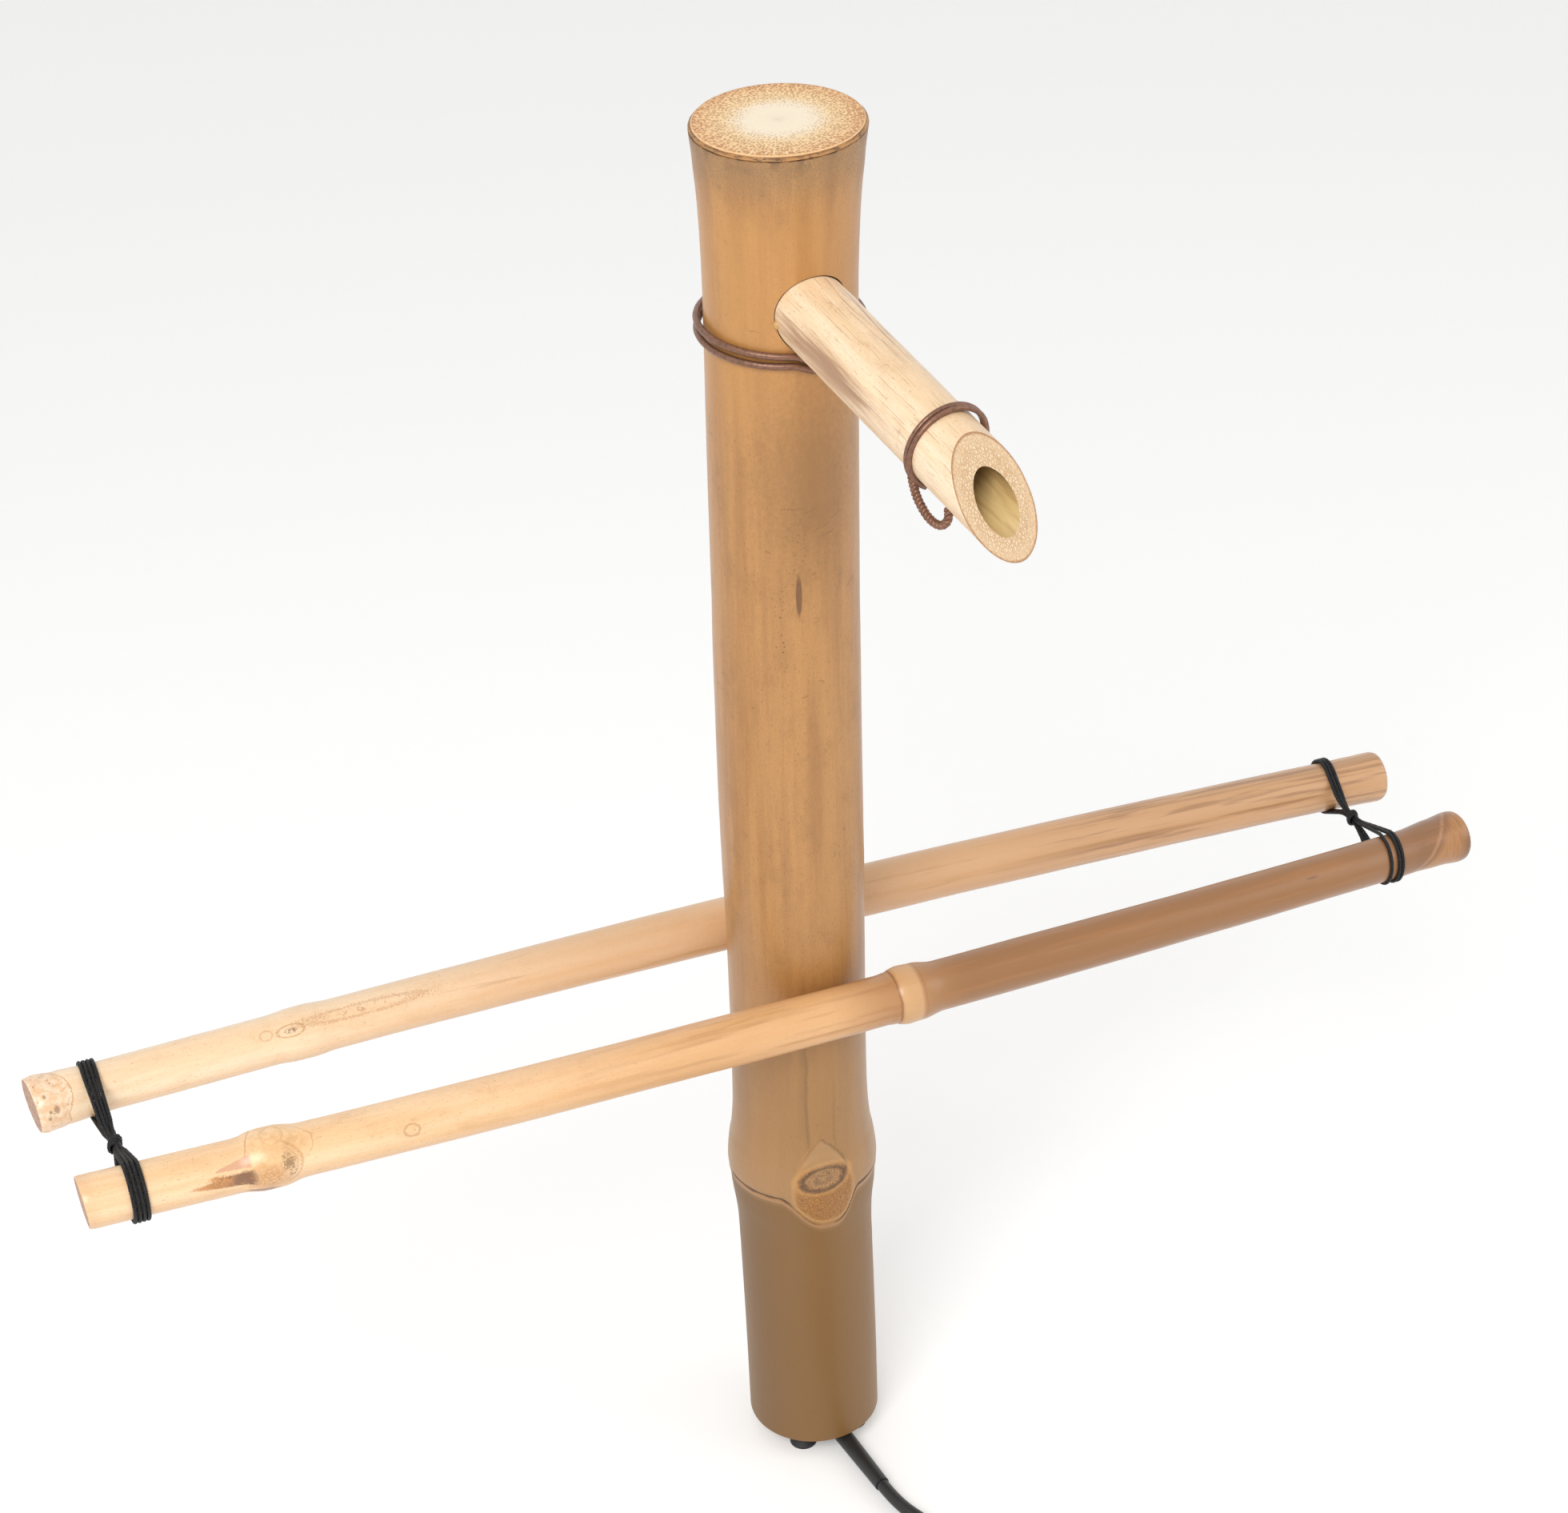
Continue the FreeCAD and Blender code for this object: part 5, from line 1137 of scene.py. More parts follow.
class Cane:
    """One pole: its line, drawn in by the ties, and its radius along it."""

    def __init__(self, side, reach, draw, radius, stations):
        self.side = side
        self.left, self.right = reach
        self.height = REST_HEIGHT + radius
        self.middle = POST_RADIUS + POLE_GAP + radius
        self.curve = -(draw[0] / reach[0] + draw[1] / reach[1]) / (reach[0] + reach[1])
        self.tilt = draw[0] / reach[0] + self.curve * reach[0]
        self.stations = sorted([(0, radius), *stations])

    def across(self, x):
        return self.side * (self.middle + self.tilt * x + self.curve * x * x)

    def slope(self, x):
        return self.side * (self.tilt + 2 * self.curve * x)

    def radius(self, x):
        x = min(max(x, -self.left), self.right)
        for (x0, r0), (x1, r1) in zip(self.stations, self.stations[1:]):
            if x <= x1:
                return r0 + (r1 - r0) * smooth(x, x0, x1)
        return self.stations[-1][1]

    def bent(self, vert):
        """Lays a point of the straight cane (towards -Y, up, along X) on the pole's line."""
        slope = self.slope(vert.z)
        long = math.hypot(1, slope)
        x = vert.z + vert.x * slope / long
        y = self.across(vert.z) - vert.x / long
        return Vector((x, y, self.height + vert.y))


def node_swelling(middle, radius, out):
    steps = ((-13, 0), (-3, out), (3, out), (13, 0))
    return [(middle + step, radius + rise) for step, rise in steps]


def end_swelling(end, inwards, radius, out):
    steps = ((0, out - 0.4), (3, out), (13, out / 2), (28, 0))
    return [(end + inwards * step, radius + rise) for step, rise in steps]


# A worn place's depth, and its half length and half angle
WORN_DEPTH = 1.8
WORN_HALF = (14, 40)
# Each pole's reach to the left and right, and how far the ties draw its ends in
REAR_REACH = (315.3, 303.2)
REAR_DRAW = (7.2, 10.5)
REAR_RADIUS = 11.4
REAR_SCAR = -205
FRONT_REACH = (307.3, 305.9)
FRONT_DRAW = (4.4, 9.5)
FRONT_RADIUS = 10.7
FRONT_NODES = (-236, 33)

REAR_STATIONS = end_swelling(-REAR_REACH[0], 1, 10.3, 1.4) + node_swelling(REAR_SCAR, 10.4, 0.7)
REAR_STATIONS += end_swelling(REAR_REACH[1], -1, 11.2, 0.4)
REAR = Cane(1, REAR_REACH, REAR_DRAW, REAR_RADIUS, REAR_STATIONS)
FRONT_STATIONS = [(-FRONT_REACH[0], 10.4), (2 - FRONT_REACH[0], 10.6)]
for node_place in FRONT_NODES:
    FRONT_STATIONS += node_swelling(node_place, 10.6, 1.4)
FRONT_STATIONS += end_swelling(FRONT_REACH[1], -1, 9.9, 1.7)
FRONT = Cane(-1, FRONT_REACH, FRONT_DRAW, FRONT_RADIUS, FRONT_STATIONS)


def worn(x, away):
    """How deep a cane is worn where it bears on the post, away degrees from the touching side."""
    return WORN_DEPTH * bell(x / WORN_HALF[0]) * bell(away / WORN_HALF[1])


def rear_relief(angle, x):
    """The rear pole's branch scar and its knobbly left end."""
    out = 0.35 * bell((x - REAR_SCAR) / 7) * bell((angle - 45) / 45) - worn(x, angle)
    knobs = 0.3 * wander(x, angle * 0.2, 0, 2.6) + 0.2 * bell((x + 311) / 2)
    return out + knobs * smooth(x, -299, -303)


def front_relief(angle, x):
    """The front pole's bulge at its left node, its middle node's ring, and its right end's rise."""
    out = 0.9 * bell((x + 235) / 9) * bell((angle - 49) / 55)
    out += 0.2 * bell((x + 219) / 1.4) * bell((angle - 60) / 50)
    out += 0.3 * bell((x + 243) / 1.6) * bell((angle - 90) / 45)
    out += 0.3 * bell((x - 30) / 3.5) - 0.3 * bell((x - 24.6) / 0.9) - worn(x, 180 - abs(angle))
    return out + 1.1 * smooth(x, 268, 300) * math.sin(math.radians(angle))


# Marks on the rear pole, placed along it and by angle, with the half lengths of its stains
REAR_EYE = (-211.0, 44.0)
REAR_RING = (-221.0, 47.0)
REAR_SCUFF = (-180.0, 52.0)
REAR_STAINS = (
    ((-311.4, 44.0), 1.0),
    ((-307.8, 17.0), 1.8),
    ((-311.5, -1.0), 1.2),
    ((-310.6, 13.0), 0.8),
)


def rear_marks(finish):
    grain = finish.attribute("grain")
    side, up, x = finish.split(grain)
    angle = finish.angle(side, up)
    ragged = finish.noise(grain, 0.35, detail=5.0)
    fine = finish.noise(grain, 1.5, detail=4.0)
    nick = fine - 0.5
    # Browner and darker towards the right, partly the cane's own colour and partly painted shade where
    # the light falls off
    finish.paint(x.ramp(-250.0, -60.0) * 0.75, tone(224, 174, 124))
    finish.paint(x.ramp(0.0, 160.0) * 0.6, tone(198, 146, 98))
    # The left end: pale, pinkish and stained beyond a wavy scar
    off = (angle - 42.0) / 45.0
    scar_line = x + 300.1 + off * off * 2.8 - angle.ramp(0.0, -30.0) * 4.2 + (ragged - 0.5) * 2.2
    rough_end = scar_line.ramp(0.3, -0.6)
    mottled = finish.blend(ragged.ramp(0.4, 0.62), tone(252, 222, 190), tone(236, 190, 146))
    finish.paint(rough_end * 0.75, mottled, 0.6)
    finish.paint(scar_line.line(0.0, 0.5) * fine.ramp(0.3, 0.5) * 0.7, tone(196, 134, 76))
    swirl = finish.noise(grain, 0.16, detail=2.0).line(0.47, 0.012)
    finish.paint(swirl * rough_end * fine.ramp(0.36, 0.5) * 0.8, tone(170, 112, 64))
    for place, half in REAR_STAINS:
        stain = finish.spot(x, angle, place, (half, half * 5.5)) + (ragged - 0.5) * 2.6
        finish.paint(stain.ramp(1.1, 0.2) * 0.7, tone(140, 92, 52), 0.7)
    # The branch scar, with a smaller ring beside it and a long scuff to its right
    eye = finish.spot(x, angle, REAR_EYE, (5.6, 13.0)) + nick * 0.3
    finish.paint(eye.line(1.0, 0.22) * fine.ramp(0.3, 0.5) * 0.7, tone(184, 132, 84))
    finish.paint(eye.ramp(0.7, 0.3) * fine.ramp(0.42, 0.56) * 0.8, tone(120, 80, 48), 0.65)
    ring = finish.spot(x, angle, REAR_RING, (2.6, 11.0)) + nick * 0.3
    finish.paint(ring.line(1.0, 0.3) * fine.ramp(0.34, 0.52) * 0.5, tone(196, 146, 92))
    scuff = finish.spot(x, angle, REAR_SCUFF, (27.0, 15.0)) + nick * 1.6
    finish.paint(scuff.line(0.9, 0.28) * 0.55, tone(190, 138, 86))
    finish.paint(scuff.ramp(0.5, 0.2) * ragged.ramp(0.5, 0.6) * 0.6, tone(176, 122, 72))
    # Grey-brown streaks further right, and a browner right end
    streak = finish.streaks(grain, 0.045, 0.42, detail=4.0)
    wide = finish.streaks(grain, 0.03, 0.2, detail=3.0)
    finish.paint(wide.ramp(0.5, 0.62) * x.ramp(90.0, 170.0) * 0.5, tone(166, 122, 84))
    finish.paint(streak.ramp(0.5, 0.66) * x.ramp(120.0, 170.0) * 0.6, tone(146, 104, 70))
    finish.paint(streak.ramp(0.6, 0.7) * x.ramp(-190.0, -120.0) * 0.35, tone(188, 138, 86))


# Marks on the front pole, placed along it and by angle
FRONT_BUD = (-234.0, 18.0)
FRONT_RUST = (-238.0, -2.0)
FRONT_LOOP = (-234.6, 80.0)
FRONT_SPECKS = (-230.4, 20.0)
FRONT_UNDER_SHADE = (-241.0, -37.0)
FRONT_KNOT = (-181.8, 21.0)
FRONT_DASH = (223.7, 42.0)


def front_marks(finish):
    grain = finish.attribute("grain")
    side, up, x = finish.split(grain)
    angle = finish.angle(side, up)
    ragged = finish.noise(grain, 0.3, detail=5.0)
    jag = ragged - 0.5
    fine = finish.noise(grain, 1.4, detail=4.0)
    nick = fine - 0.5
    streak = finish.streaks(grain, 0.05, 0.3, detail=4.0)
    # Browner and darker towards the right, partly the cane's own colour and partly painted shade where
    # the light falls off
    finish.paint(x.ramp(-230.0, -40.0) * 0.75, tone(222, 164, 104))
    finish.paint(x.ramp(-10.0, 60.0) * 0.9, tone(142, 92, 42))
    finish.paint(x.ramp(268.0, 282.0) * 0.5, tone(104, 66, 32))
    finish.paint(streak.ramp(0.5, 0.66) * x.ramp(-160.0, 0.0) * 0.5, tone(170, 114, 62))
    # The left node: a wavy scar each side of the bulge, and a ringed bud
    drift = jag * 3.0
    left_scar = x + 242.8 - (angle - 102.0) * 0.061 + drift * 0.6
    finish.paint(left_scar.line(0.0, 0.6) * angle.ramp(30.0, 60.0) * 0.6, tone(196, 138, 78))
    off = (angle - 55.0) / 45.0
    right_scar = x + 219.5 + off * off * 8.0 + drift * 0.6
    finish.paint(right_scar.line(0.0, 0.5) * angle.ramp(24.0, 36.0) * 0.6, tone(198, 140, 80))
    between = left_scar.ramp(0.0, 4.0) * right_scar.ramp(0.0, -4.0)
    mottled = finish.blend(ragged.ramp(0.4, 0.6), tone(250, 208, 150), tone(226, 172, 108))
    finish.paint(between * 0.45, mottled)
    bud = finish.spot(x, angle, FRONT_BUD, (9.0, 44.0)) + nick * 0.22 + jag * 0.2
    worn_side = x.ramp(-235.0, -229.0) * fine.ramp(0.3, 0.56)
    for ring, depth in ((1.0, 0.55), (0.8, 0.4), (0.62, 0.3)):
        finish.paint(bud.line(ring, 0.12) * worn_side * depth, tone(182, 126, 70))
    lower = finish.spot(x, angle, FRONT_RUST, (9.5, 36.0)) + nick * 1.2
    loop = finish.spot(x, angle, FRONT_LOOP, (4.2, 22.0)) + jag * 0.5
    finish.paint(loop.line(1.0, 0.18) * fine.ramp(0.34, 0.56) * 0.35, tone(206, 146, 84))
    finish.paint(lower.ramp(1.1, 0.4) * (fine.ramp(0.36, 0.56) * 0.5 + 0.25), tone(194, 128, 60))
    specks = finish.spot(x, angle, FRONT_SPECKS, (3.4, 27.0)) + (ragged + fine - 1.0) * 3.0
    finish.paint(specks.ramp(0.9, 0.1) * 0.7, tone(118, 80, 48), 0.7)
    # The brown burn that runs to a point left of the bulge, with a pinkish blush over it
    reach = x + 270.5
    along = finish.streaks(grain, 0.12, 0.5, detail=4.0)
    jagged = nick * 14.0 + (along - 0.5) * 26.0
    upper_side = (reach * 1.6 + 5.0).least(25.0) - angle + jagged
    lower_side = angle - 4.0 + reach * 0.75 + jagged * 0.4
    burn = upper_side.ramp(0.0, 8.0) * lower_side.ramp(0.0, 5.0)
    burn = burn * (x + drift * 2.0).ramp(-241.5, -245.5)
    depth = reach / 24.0 + jag * 1.4 + nick * 0.8
    shades = finish.blend(depth.ramp(0.4, 1.0), tone(200, 132, 62), tone(112, 64, 27))
    finish.paint(burn * 0.9, shades, 0.42)
    # Painted shade under the node's bulge, on the cane's lower side
    under = finish.spot(x, angle, FRONT_UNDER_SHADE, (8.0, 11.0)) + nick * 0.9
    finish.paint(under.ramp(1.0, 0.4) * 0.8, tone(112, 66, 30))
    start = x + 258.0
    blush = (angle - start * 0.55 - 33.0).size() / (start.most(0.0) * 0.9 + 2.0) + nick * 0.9
    blush = blush.ramp(1.1, 0.7) * start.ramp(0.0, 1.0) * x.ramp(-243.4, -245.0)
    finish.paint(blush * 0.65, tone(202, 138, 108))
    knot = finish.spot(x, angle, FRONT_KNOT, (3.0, 13.0)) + nick * 0.4
    finish.paint(knot.line(1.0, 0.3) * 0.55, tone(184, 124, 66))
    # The middle node: a pale ring between two brown lines
    ring = (x - 30.0).size().ramp(5.5, 3.5)
    finish.paint(ring * 0.55, tone(232, 184, 130), 0.45)
    finish.paint((x + drift * 0.3).line(24.8, 0.8) * 0.8, tone(132, 82, 42))
    finish.paint((x + drift * 0.4).line(36.0, 0.6) * 0.5, tone(160, 108, 60))
    finish.paint(x.ramp(-10.0, 22.0) * x.ramp(26.0, 24.0) * 0.45, tone(170, 112, 58))
    dash = finish.spot(x, angle, FRONT_DASH, (4.0, 5.0)) + nick * 0.8
    finish.paint(dash.ramp(1.0, 0.4) * 0.6, tone(116, 74, 38))
    # The right end: a browner node with a curved line, and fine lines round the tip
    curve = x - 288.9 - (angle - 29.0) * 0.149 + drift * 0.5
    end = curve.ramp(0.0, 5.0)
    finish.paint(x.ramp(236.0, 262.0) * 0.5, tone(150, 104, 66))
    finish.paint(end * 0.7, tone(190, 134, 78))
    finish.paint(curve.line(-1.0, 1.8) * 0.45, tone(204, 154, 110))
    # Painted shade on the tip's lower side
    finish.paint(x.ramp(298.0, 305.0) * angle.ramp(62.0, 10.0) * 0.7, tone(92, 58, 34))
    rings = finish.noise(finish.stretch(grain, 0.12, 0.12, 1.6), 1.0, detail=3.0)
    finish.paint(x.ramp(288.0, 294.0) * rings.ramp(0.5, 0.62) * 0.5, tone(146, 92, 50))
    finish.paint(x.ramp(-300.0, -307.0) * 0.25, tone(214, 158, 106))


def pole_skin(name, pale, deep, stain, mark):
    finish = cane_skin(name, pale, deep, stain, 0.32)
    _, up, _ = finish.split(finish.attribute("grain"))
    # Painted shade on the poles' undersides
    finish.paint(up.ramp(2.0, -10.0) * 0.55, tone(218, 162, 102))
    mark(finish)
    return finish.finished(Coat_Weight=0.55, Coat_Roughness=0.24)


# The poles' left cuts lean: how much further right they are towards the front, and lower down
LEFT_CUT = (0.09, 0.05)


def make_pole(name, node, cane, skin, face, relief):
    def spacing(x):
        near = min(abs(x - place) for place, _ in cane.stations if place != 0)
        return FINE_SPACING if near < 9 else 2.4

    def ring(x, inset=0.0):
        return (cane.radius(x) - inset, x)

    left, right, soft = -cane.left, cane.right, 0.3
    rings = [(0, left), ring(left, soft + 0.5), ring(left, soft), ring(left + soft * 0.3, soft * 0.3)]
    rings += [ring(x) for x in steps_between(left + soft, right - 1.0, spacing)]
    rings += [ring(right - 0.35, 0.35), ring(right, 1.0), ring(right, 1.5), (0, right)]
    bm = lathe(rings, POLE_SIDES)
    straight_grain(bm)
    for face_of in bm.faces:
        x = face_of.calc_center_median().z
        face_of.material_index = 1 if x < left + 0.02 or x > right - 0.02 else 0
    for vert in bm.verts:
        radius = math.hypot(vert.co.x, vert.co.y)
        if radius > 2:
            angle = math.degrees(math.atan2(vert.co.y, vert.co.x))
            out = 0.16 * wander(vert.co.x, vert.co.y, vert.co.z * 0.25 + cane.side * 90, 9)
            swell(vert, out + 0.05 * wander(*vert.co, 3) + relief(angle, vert.co.z))
        near_cut = smooth(vert.co.z, left + 14, left + 2)
        vert.co.z += (LEFT_CUT[0] * vert.co.x - LEFT_CUT[1] * vert.co.y) * near_cut
    for vert in bm.verts:
        vert.co = cane.bent(vert.co)
    make_piece(name, bm, "poles", [skin, face], [node], sharp=50)


REAR_SKIN = pole_skin(
    "rear_pole_skin", tone(255, 229, 194), tone(250, 214, 172), tone(222, 172, 122), rear_marks
)
FRONT_SKIN = pole_skin(
    "front_pole_skin", tone(253, 216, 172), tone(244, 199, 148), tone(206, 152, 98), front_marks
)
CANE_FACE = end_grain("cane_end_face", tone(204, 168, 146), tone(170, 128, 104), tone(128, 90, 70), 0.7)
CANE_FACE = CANE_FACE.finished()
make_pole("rear_pole_cane", "rear_pole", REAR, REAR_SKIN, CANE_FACE, rear_relief)
make_pole("front_pole_cane", "front_pole", FRONT, FRONT_SKIN, CANE_FACE, front_relief)

# Ties

STRING_RADIUS = 0.85
STRING_PITCH = 1.7
STRAND_LAY = 3.2
STRANDS = 3
STRING_SLACK = 0.15
WAIST_HEIGHT = REST_HEIGHT + (REAR_RADIUS + FRONT_RADIUS) / 2
WAIST_HALF = 0.9
WAIST_BEND = 30.0
WAIST_SHARE = 0.3
WAIST_SPREAD = (1.5, 17)
WAIST_STEPS = (-0.2, 0.7)
STRAY_START = (18, 34)
STRING_STEP = 0.6
KNOT_RADIUS = 1.8
KNOT_HIGH = 1.3


def leave_angle(distance, height, wrap):
    """Angle, at the pole's middle, where a string leaves it for the waist."""
    rise = WAIST_HALF + WAIST_BEND - height
    reach = math.hypot(distance, rise)
    return math.atan2(rise, -distance) - math.acos((wrap + WAIST_BEND) / reach)


def arc(middle, radius, first, last):
    count = max(2, int(abs(last - first) * radius / STRING_STEP))
    angles = [first + (last - first) * index / count for index in range(count + 1)]
    return [(middle[0] + radius * math.cos(a), middle[1] + radius * math.sin(a)) for a in angles]


def half_loop(distance, height, wrap):
    """(y, z) points from the waist's top over the rear pole and back to the waist's underside."""
    top = leave_angle(distance, height, wrap)
    under = leave_angle(distance, -height, wrap)
    bend_middle = WAIST_HALF + WAIST_BEND
    points = arc((0, bend_middle), WAIST_BEND, -math.pi / 2, top - math.pi)
    points += arc((distance, height), wrap, top, -under)
    points += arc((0, -bend_middle), WAIST_BEND, math.pi - under, math.pi / 2)
    return points


def drawn(y, shift):
    """How far the waist's strings lie towards one of the poles."""
    return shift * bell(y / 22)


def tie_path(middle_x, skew, loops, stray, shift):
    """The string's line: loops side by side round both poles, drawn together at the waist."""
    halves = []
    for cane in (REAR, FRONT):
        x = middle_x + skew * cane.across(middle_x)
        wrap = cane.radius(x) + STRING_RADIUS + STRING_SLACK
        halves.append((abs(cane.across(middle_x)), cane.height - WAIST_HEIGHT, wrap))
    rear = half_loop(*halves[0])
    front = half_loop(halves[1][0], -halves[1][1], halves[1][2])
    outline = rear + [(-y, -z) for y, z in front]
    points = []
    for turn in range(loops):
        for index, (y, z) in enumerate(outline):
            share = turn + index / len(outline) - loops / 2
            apart = smooth(abs(y), *WAIST_SPREAD)
            pitch = STRING_PITCH * (WAIST_SHARE + (1 - WAIST_SHARE) * apart)
            x = middle_x + share * pitch + skew * y
            if turn == 0:
                x -= stray * smooth(-y, *STRAY_START)
            step = WAIST_STEPS[turn % 2] * (1 - apart)
            height = WAIST_HEIGHT + z + (step if z > 0 else -step)
            points.append(Vector((x, y + drawn(y, shift), height)))
    return points


def knot_path(middle_x, skew, wraps, shift):
    """Wraps round the waist's strands, and the cut end that is left over."""
    points = []
    count = 40
    for index in range(wraps * count + 1):
        turn = math.tau * index / count
        y = (index / count - wraps / 2) * STRING_PITCH * 0.8
        round_radius = KNOT_RADIUS + 0.4 * bell(y / 1.6)
        x = middle_x + round_radius * math.cos(turn) + skew * y
        z = WAIST_HEIGHT + round_radius * KNOT_HIGH * math.sin(turn)
        points.append(Vector((x + y * 0.35, y + drawn(y, shift), z)))
    for index in range(1, 10):
        points.append(points[-1] + Vector((-0.25, 0.1, 0.75 - 0.14 * index)))
    return points


def string_black():
    finish = Finish("waxed_string_black", tone(15, 15, 17), 0.42)
    place = finish.place()
    wear = finish.noise(place, 0.6, detail=4.0)
    fibre_and_glint = finish.noise(place, 5.0, detail=2.0)
    finish.paint(wear.ramp(0.5, 0.7) * 0.4, tone(44, 45, 50), 0.32)
    # Painted glints: small pale dashes along the string
    finish.paint(fibre_and_glint.ramp(0.62, 0.7) * 0.6, tone(128, 130, 138))
    finish.lift(fibre_and_glint * 0.08)
    return finish.finished(Specular_IOR_Level=0.3)


def lay_string(name, line, node, material):
    """Three strands twisted along a line, in place of a solid."""
    strands = twisted(evenly(line, STRING_STEP), STRING_RADIUS * 0.5, STRAND_LAY, STRANDS)
    bm = rope(strands, STRING_RADIUS * 0.56, 1)
    make_piece(name, bm, "poles", [material], [node], sharp=80)


def make_tie(name, material, middle_x, skew, loops, wraps, stray, shift):
    """One tie: skew leans it, stray spreads its first loop, shift draws its waist to one pole."""
    lay_string(f"{name}_loops", tie_path(middle_x, skew, loops, stray, shift), name, material)
    lay_string(f"{name}_wraps", knot_path(middle_x, skew, wraps, shift), f"{name}_cinch", material)


STRING_BLACK = string_black()
make_tie("left_tie", STRING_BLACK, -289.4, skew=-0.04, loops=4, wraps=4, stray=0.0, shift=-5.0)
make_tie("right_tie", STRING_BLACK, 273.0, skew=0.12, loops=3, wraps=3, stray=2.4, shift=3.0)

# Wires

POST_WIRE = 1.35
POST_WIRE_RING = 31.3
POST_WIRE_SHIFT = (1.5, 0.8)
POST_WIRE_RISE = 4.6
POST_WIRE_DIP = 2.8
POST_WIRE_PITCH = 3.2
POST_WIRE_SPREAD = 0.35
SPOUT_WIRE = 1.0
SPOUT_WIRE_ALONG = 117.6
SPOUT_WIRE_SLACK = 0.5
SPOUT_WIRE_ASIDE = 1.2
SPOUT_WIRE_START = 240.0
WIRE_TURNS = 2


def copper():
    finish = Finish("copper_wire_brown", tone(134, 94, 72), 0.38)
    tarnish = finish.noise(finish.place(), 0.7, detail=4.0)
    finish.paint(tarnish.ramp(0.42, 0.68) * 0.6, tone(88, 60, 48), 0.5)
    finish.lift(tarnish * 0.04)
    return finish.finished(Metallic=0.45, Coat_Weight=0.25, Coat_Roughness=0.3)


def post_wire_path():
    """Two turns that pass close under the spout and stand higher at the back."""
    fall = math.radians(SPOUT_FALL)
    under = SPOUT_HEIGHT - SPOUT_ROOT / math.cos(fall) - POST_WIRE_RING * math.tan(fall)
    front = under - 0.1 - POST_WIRE - POST_WIRE_PITCH / 2
    points = []
    count = 240
    for index in range(count + 1):
        turn = math.tau * WIRE_TURNS * index / count
        angle = turn + math.pi + math.radians(SPOUT_TURN)
        spread = POST_WIRE_PITCH * (1 + POST_WIRE_SPREAD * max(0.0, math.sin(turn)))
        rise = POST_WIRE_RISE * (1 + math.cos(turn)) + spread * (index / count - 0.5) * WIRE_TURNS
        from_front = abs(math.degrees(math.remainder(turn - math.pi, math.tau)))
        rise += POST_WIRE_DIP * smooth(from_front, 4, 22)
        x = POST_WIRE_SHIFT[0] + POST_WIRE_RING * math.sin(angle)
        y = POST_WIRE_SHIFT[1] - POST_WIRE_RING * math.cos(angle)
        points.append(Vector((x, y, front + rise)))
    return points


def spout_wire_path():
    """Two turns that hang a little loose on the spout."""
    radius = spout_radius(SPOUT_WIRE_ALONG) + 0.2 + SPOUT_WIRE + SPOUT_WIRE_SLACK
    pitch = 2 * SPOUT_WIRE + 0.15
    points = []
    count = 200
    for index in range(count + 1):
        turn = math.tau * WIRE_TURNS * index / count
        angle = turn + math.radians(SPOUT_WIRE_START)
        along = SPOUT_WIRE_ALONG + pitch * (index / count - 0.5) * WIRE_TURNS
        aside = SPOUT_WIRE_ASIDE + radius * math.cos(angle)
        local = Vector((aside, radius * math.sin(angle) - SPOUT_WIRE_SLACK, along))
        points.append(on_spout() @ local)
    return points


# The twisted ends hang from the ring and curl back under the spout: across it, above it and along it
TAIL_PLACES = (
    (-11.2, -10.0, 117.4),
    (-10.9, -13.6, 118.6),
    (-9.8, -18.6, 121.6),
    (-8.6, -22.4, 127.6),
    (-7.2, -21.8, 133.4),
    (-6.0, -16.8, 135.4),
    (-5.4, -14.6, 132.6),
)
TAIL_STRAND = 0.85
TAIL_LAY = 3.0


def wire_tail_path():
    places = [on_spout() @ Vector(place) for place in TAIL_PLACES]
    line = taken_mesh(curved("tail_line", [places], "NURBS", resolution=24))
    points = [vert.co.copy() for vert in line.vertices]
    bpy.data.meshes.remove(line)
    return evenly(points, 0.35)


def make_wires():
    material = copper()
    pieces = (
        ("post_wire", [post_wire_path()], POST_WIRE),
        ("spout_wire", [spout_wire_path()], SPOUT_WIRE),
        ("spout_wire_tail", twisted(wire_tail_path(), TAIL_STRAND, TAIL_LAY, 2), TAIL_STRAND),
    )
    for node, paths, radius in pieces:
        bm = rope(paths, radius, 3)
        make_piece(f"{node}_turns", bm, "post", [material], [node], sharp=60)


make_wires()

# Finishes of the pieces whose shape the frame gives


def dress(node, material):
    """Gives a piece of the frame its finish."""
    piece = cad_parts[node]
    if not piece.material_slots:
        piece.data.materials.append(material)
    for holder in piece.material_slots:
        holder.material = material


def moulded(name, color, worn, roughness, texture=0.05):
    """Moulded plastic or rubber: fine texture, faint flow marks and dulled patches."""
    finish = Finish(name, color, roughness)
    place = finish.place()
    flow = finish.noise(place, 0.12, detail=4.0)
    spark = finish.noise(place, 3.5, detail=2.0)
    finish.paint(flow.ramp(0.45, 0.75) * 0.4, worn, min(1.0, roughness + 0.15))
    finish.lift(spark * texture + flow * 0.05)
    return finish


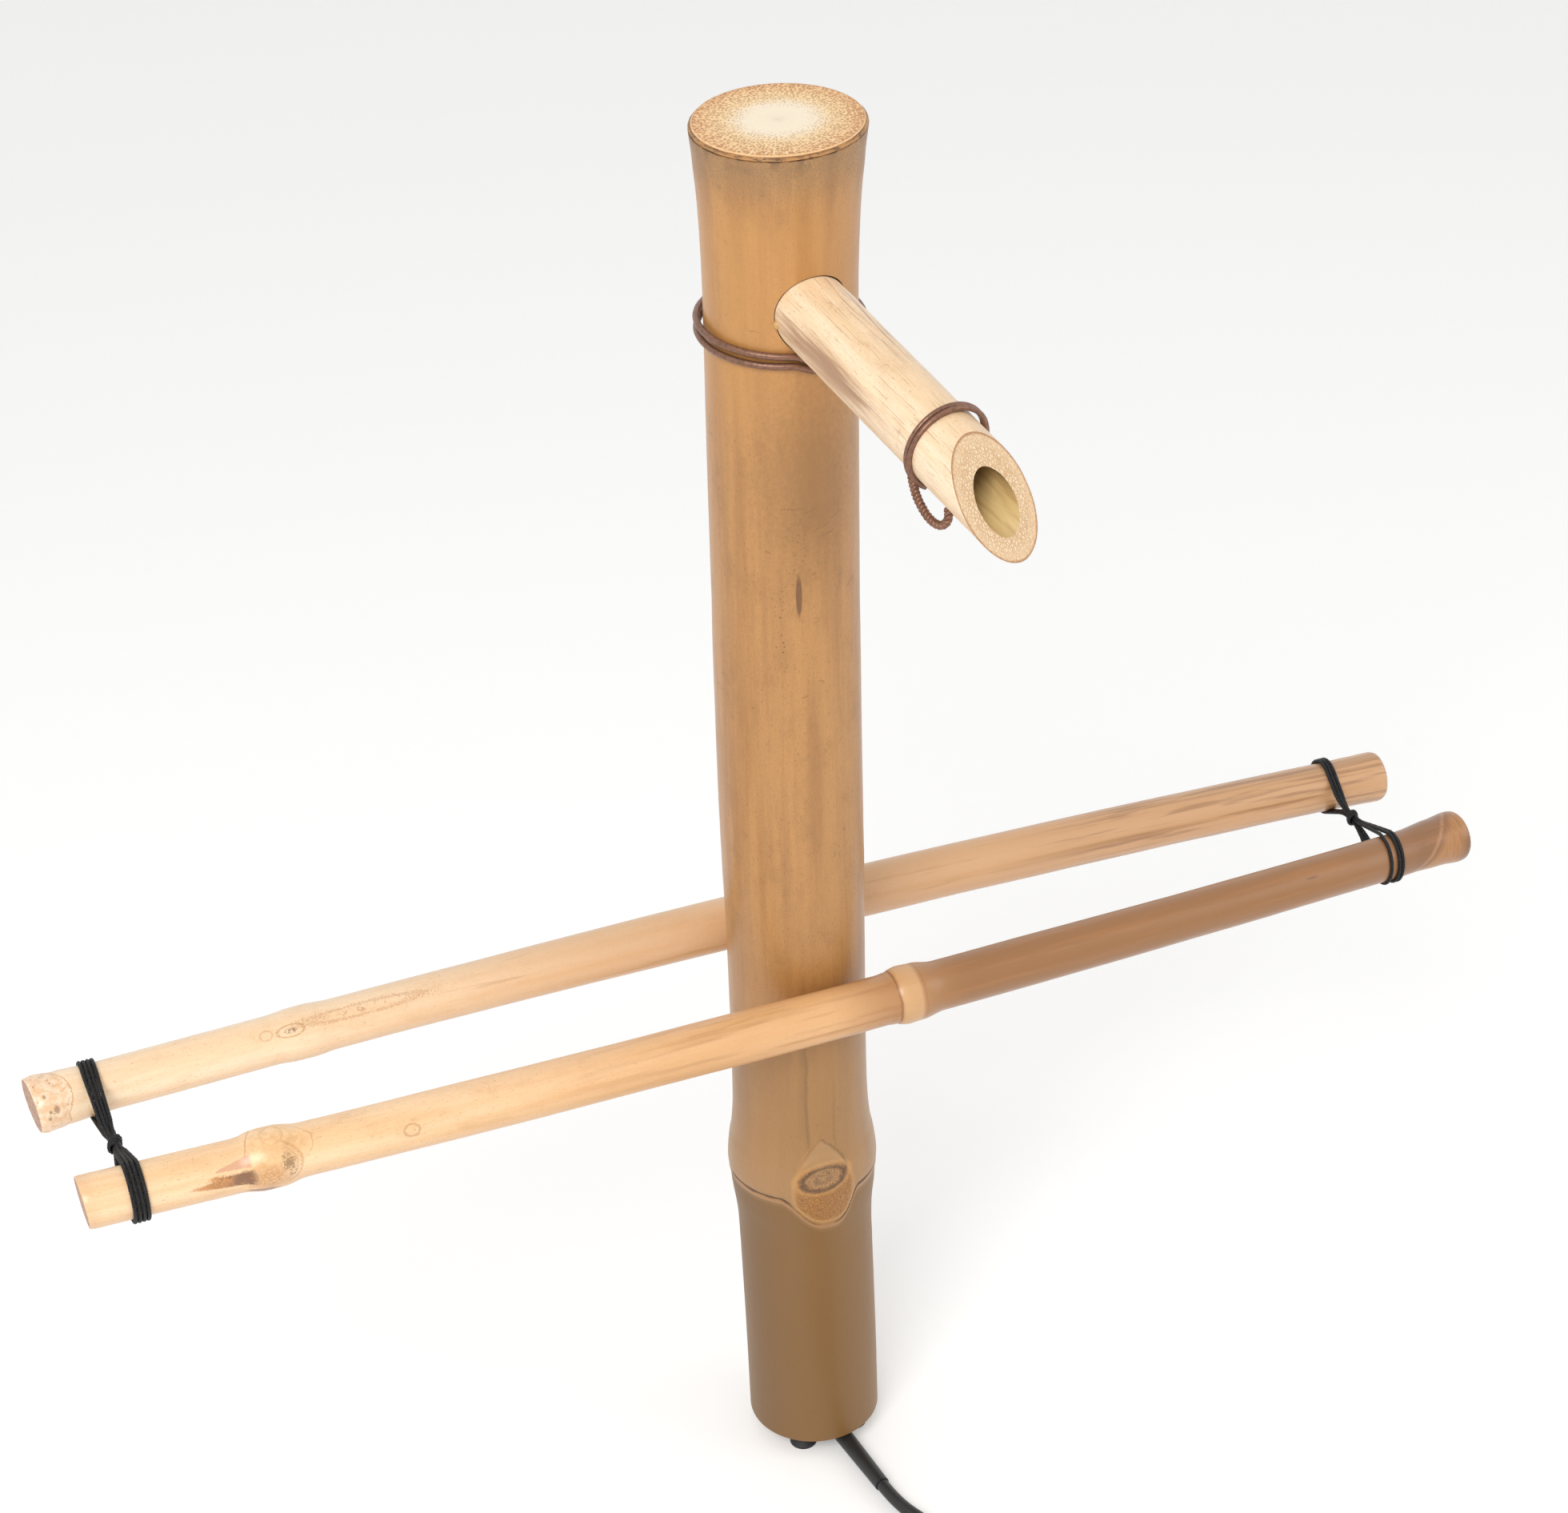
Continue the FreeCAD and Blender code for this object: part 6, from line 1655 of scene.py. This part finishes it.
def metal(name, color, dull, roughness):
    finish = Finish(name, color, roughness)
    brushed = finish.noise(finish.stretch(finish.place(), 1, 0.05, 1), 2.0, detail=4.0)
    finish.paint(brushed.ramp(0.45, 0.7) * 0.5, dull, roughness + 0.15)
    finish.lift(brushed * 0.02)
    return finish.finished(Metallic=1.0)


def dress_pump():
    shell = moulded("pump_shell_black", tone(34, 35, 37), tone(52, 53, 55), 0.45).finished()
    for node in ("pump_housing", "motor_seal_plate", "volute_cover", "intake_cover", "outlet_nozzle"):
        dress(node, shell)
    dress("flow_gate", moulded("gate_grey", tone(84, 88, 92), tone(104, 106, 108), 0.4).finished())
    iron = metal("stator_iron", tone(120, 120, 124), tone(84, 82, 82), 0.45)
    dress("stator_core", iron)
    dress("stator_coil", metal("enamelled_copper", tone(176, 96, 52), tone(132, 66, 36), 0.35))
    dress("rotor_magnet", moulded("ferrite_grey", tone(58, 58, 60), tone(44, 44, 46), 0.5).finished())
    pale = moulded("impeller_white", tone(226, 226, 222), tone(206, 204, 198), 0.42)
    dress("impeller", pale.finished())
    dress("impeller_shaft", metal("steel", tone(200, 200, 204), tone(168, 168, 172), 0.25))
    dress("shaft_bushes", moulded("bush_rubber", tone(40, 40, 42), tone(58, 57, 56), 0.7).finished())
    feet = moulded("foot_rubber_black", tone(36, 36, 38), tone(60, 59, 58), 0.6).finished()
    for number in range(1, 5):
        dress(f"suction_foot_{number}", feet)
    vinyl = Finish("clear_vinyl", tone(226, 230, 226), 0.15)
    vinyl.lift(vinyl.noise(vinyl.place(), 0.5) * 0.05)
    dress("water_tube", vinyl.finished(Transmission_Weight=0.85, IOR=1.52))
    dress("strain_relief", LEAD_RUBBER)
    dress("coil_band", moulded("band_black", tone(40, 40, 42), tone(58, 58, 60), 0.4).finished())
    dress("plug_body", moulded("plug_black", tone(32, 32, 34), tone(52, 52, 54), 0.42).finished())
    brass = metal("plug_brass_plated", tone(214, 196, 150), tone(186, 160, 110), 0.28)
    dress("plug_blades", brass)
    dress("plug_earth_pin", brass)


dress_pump()
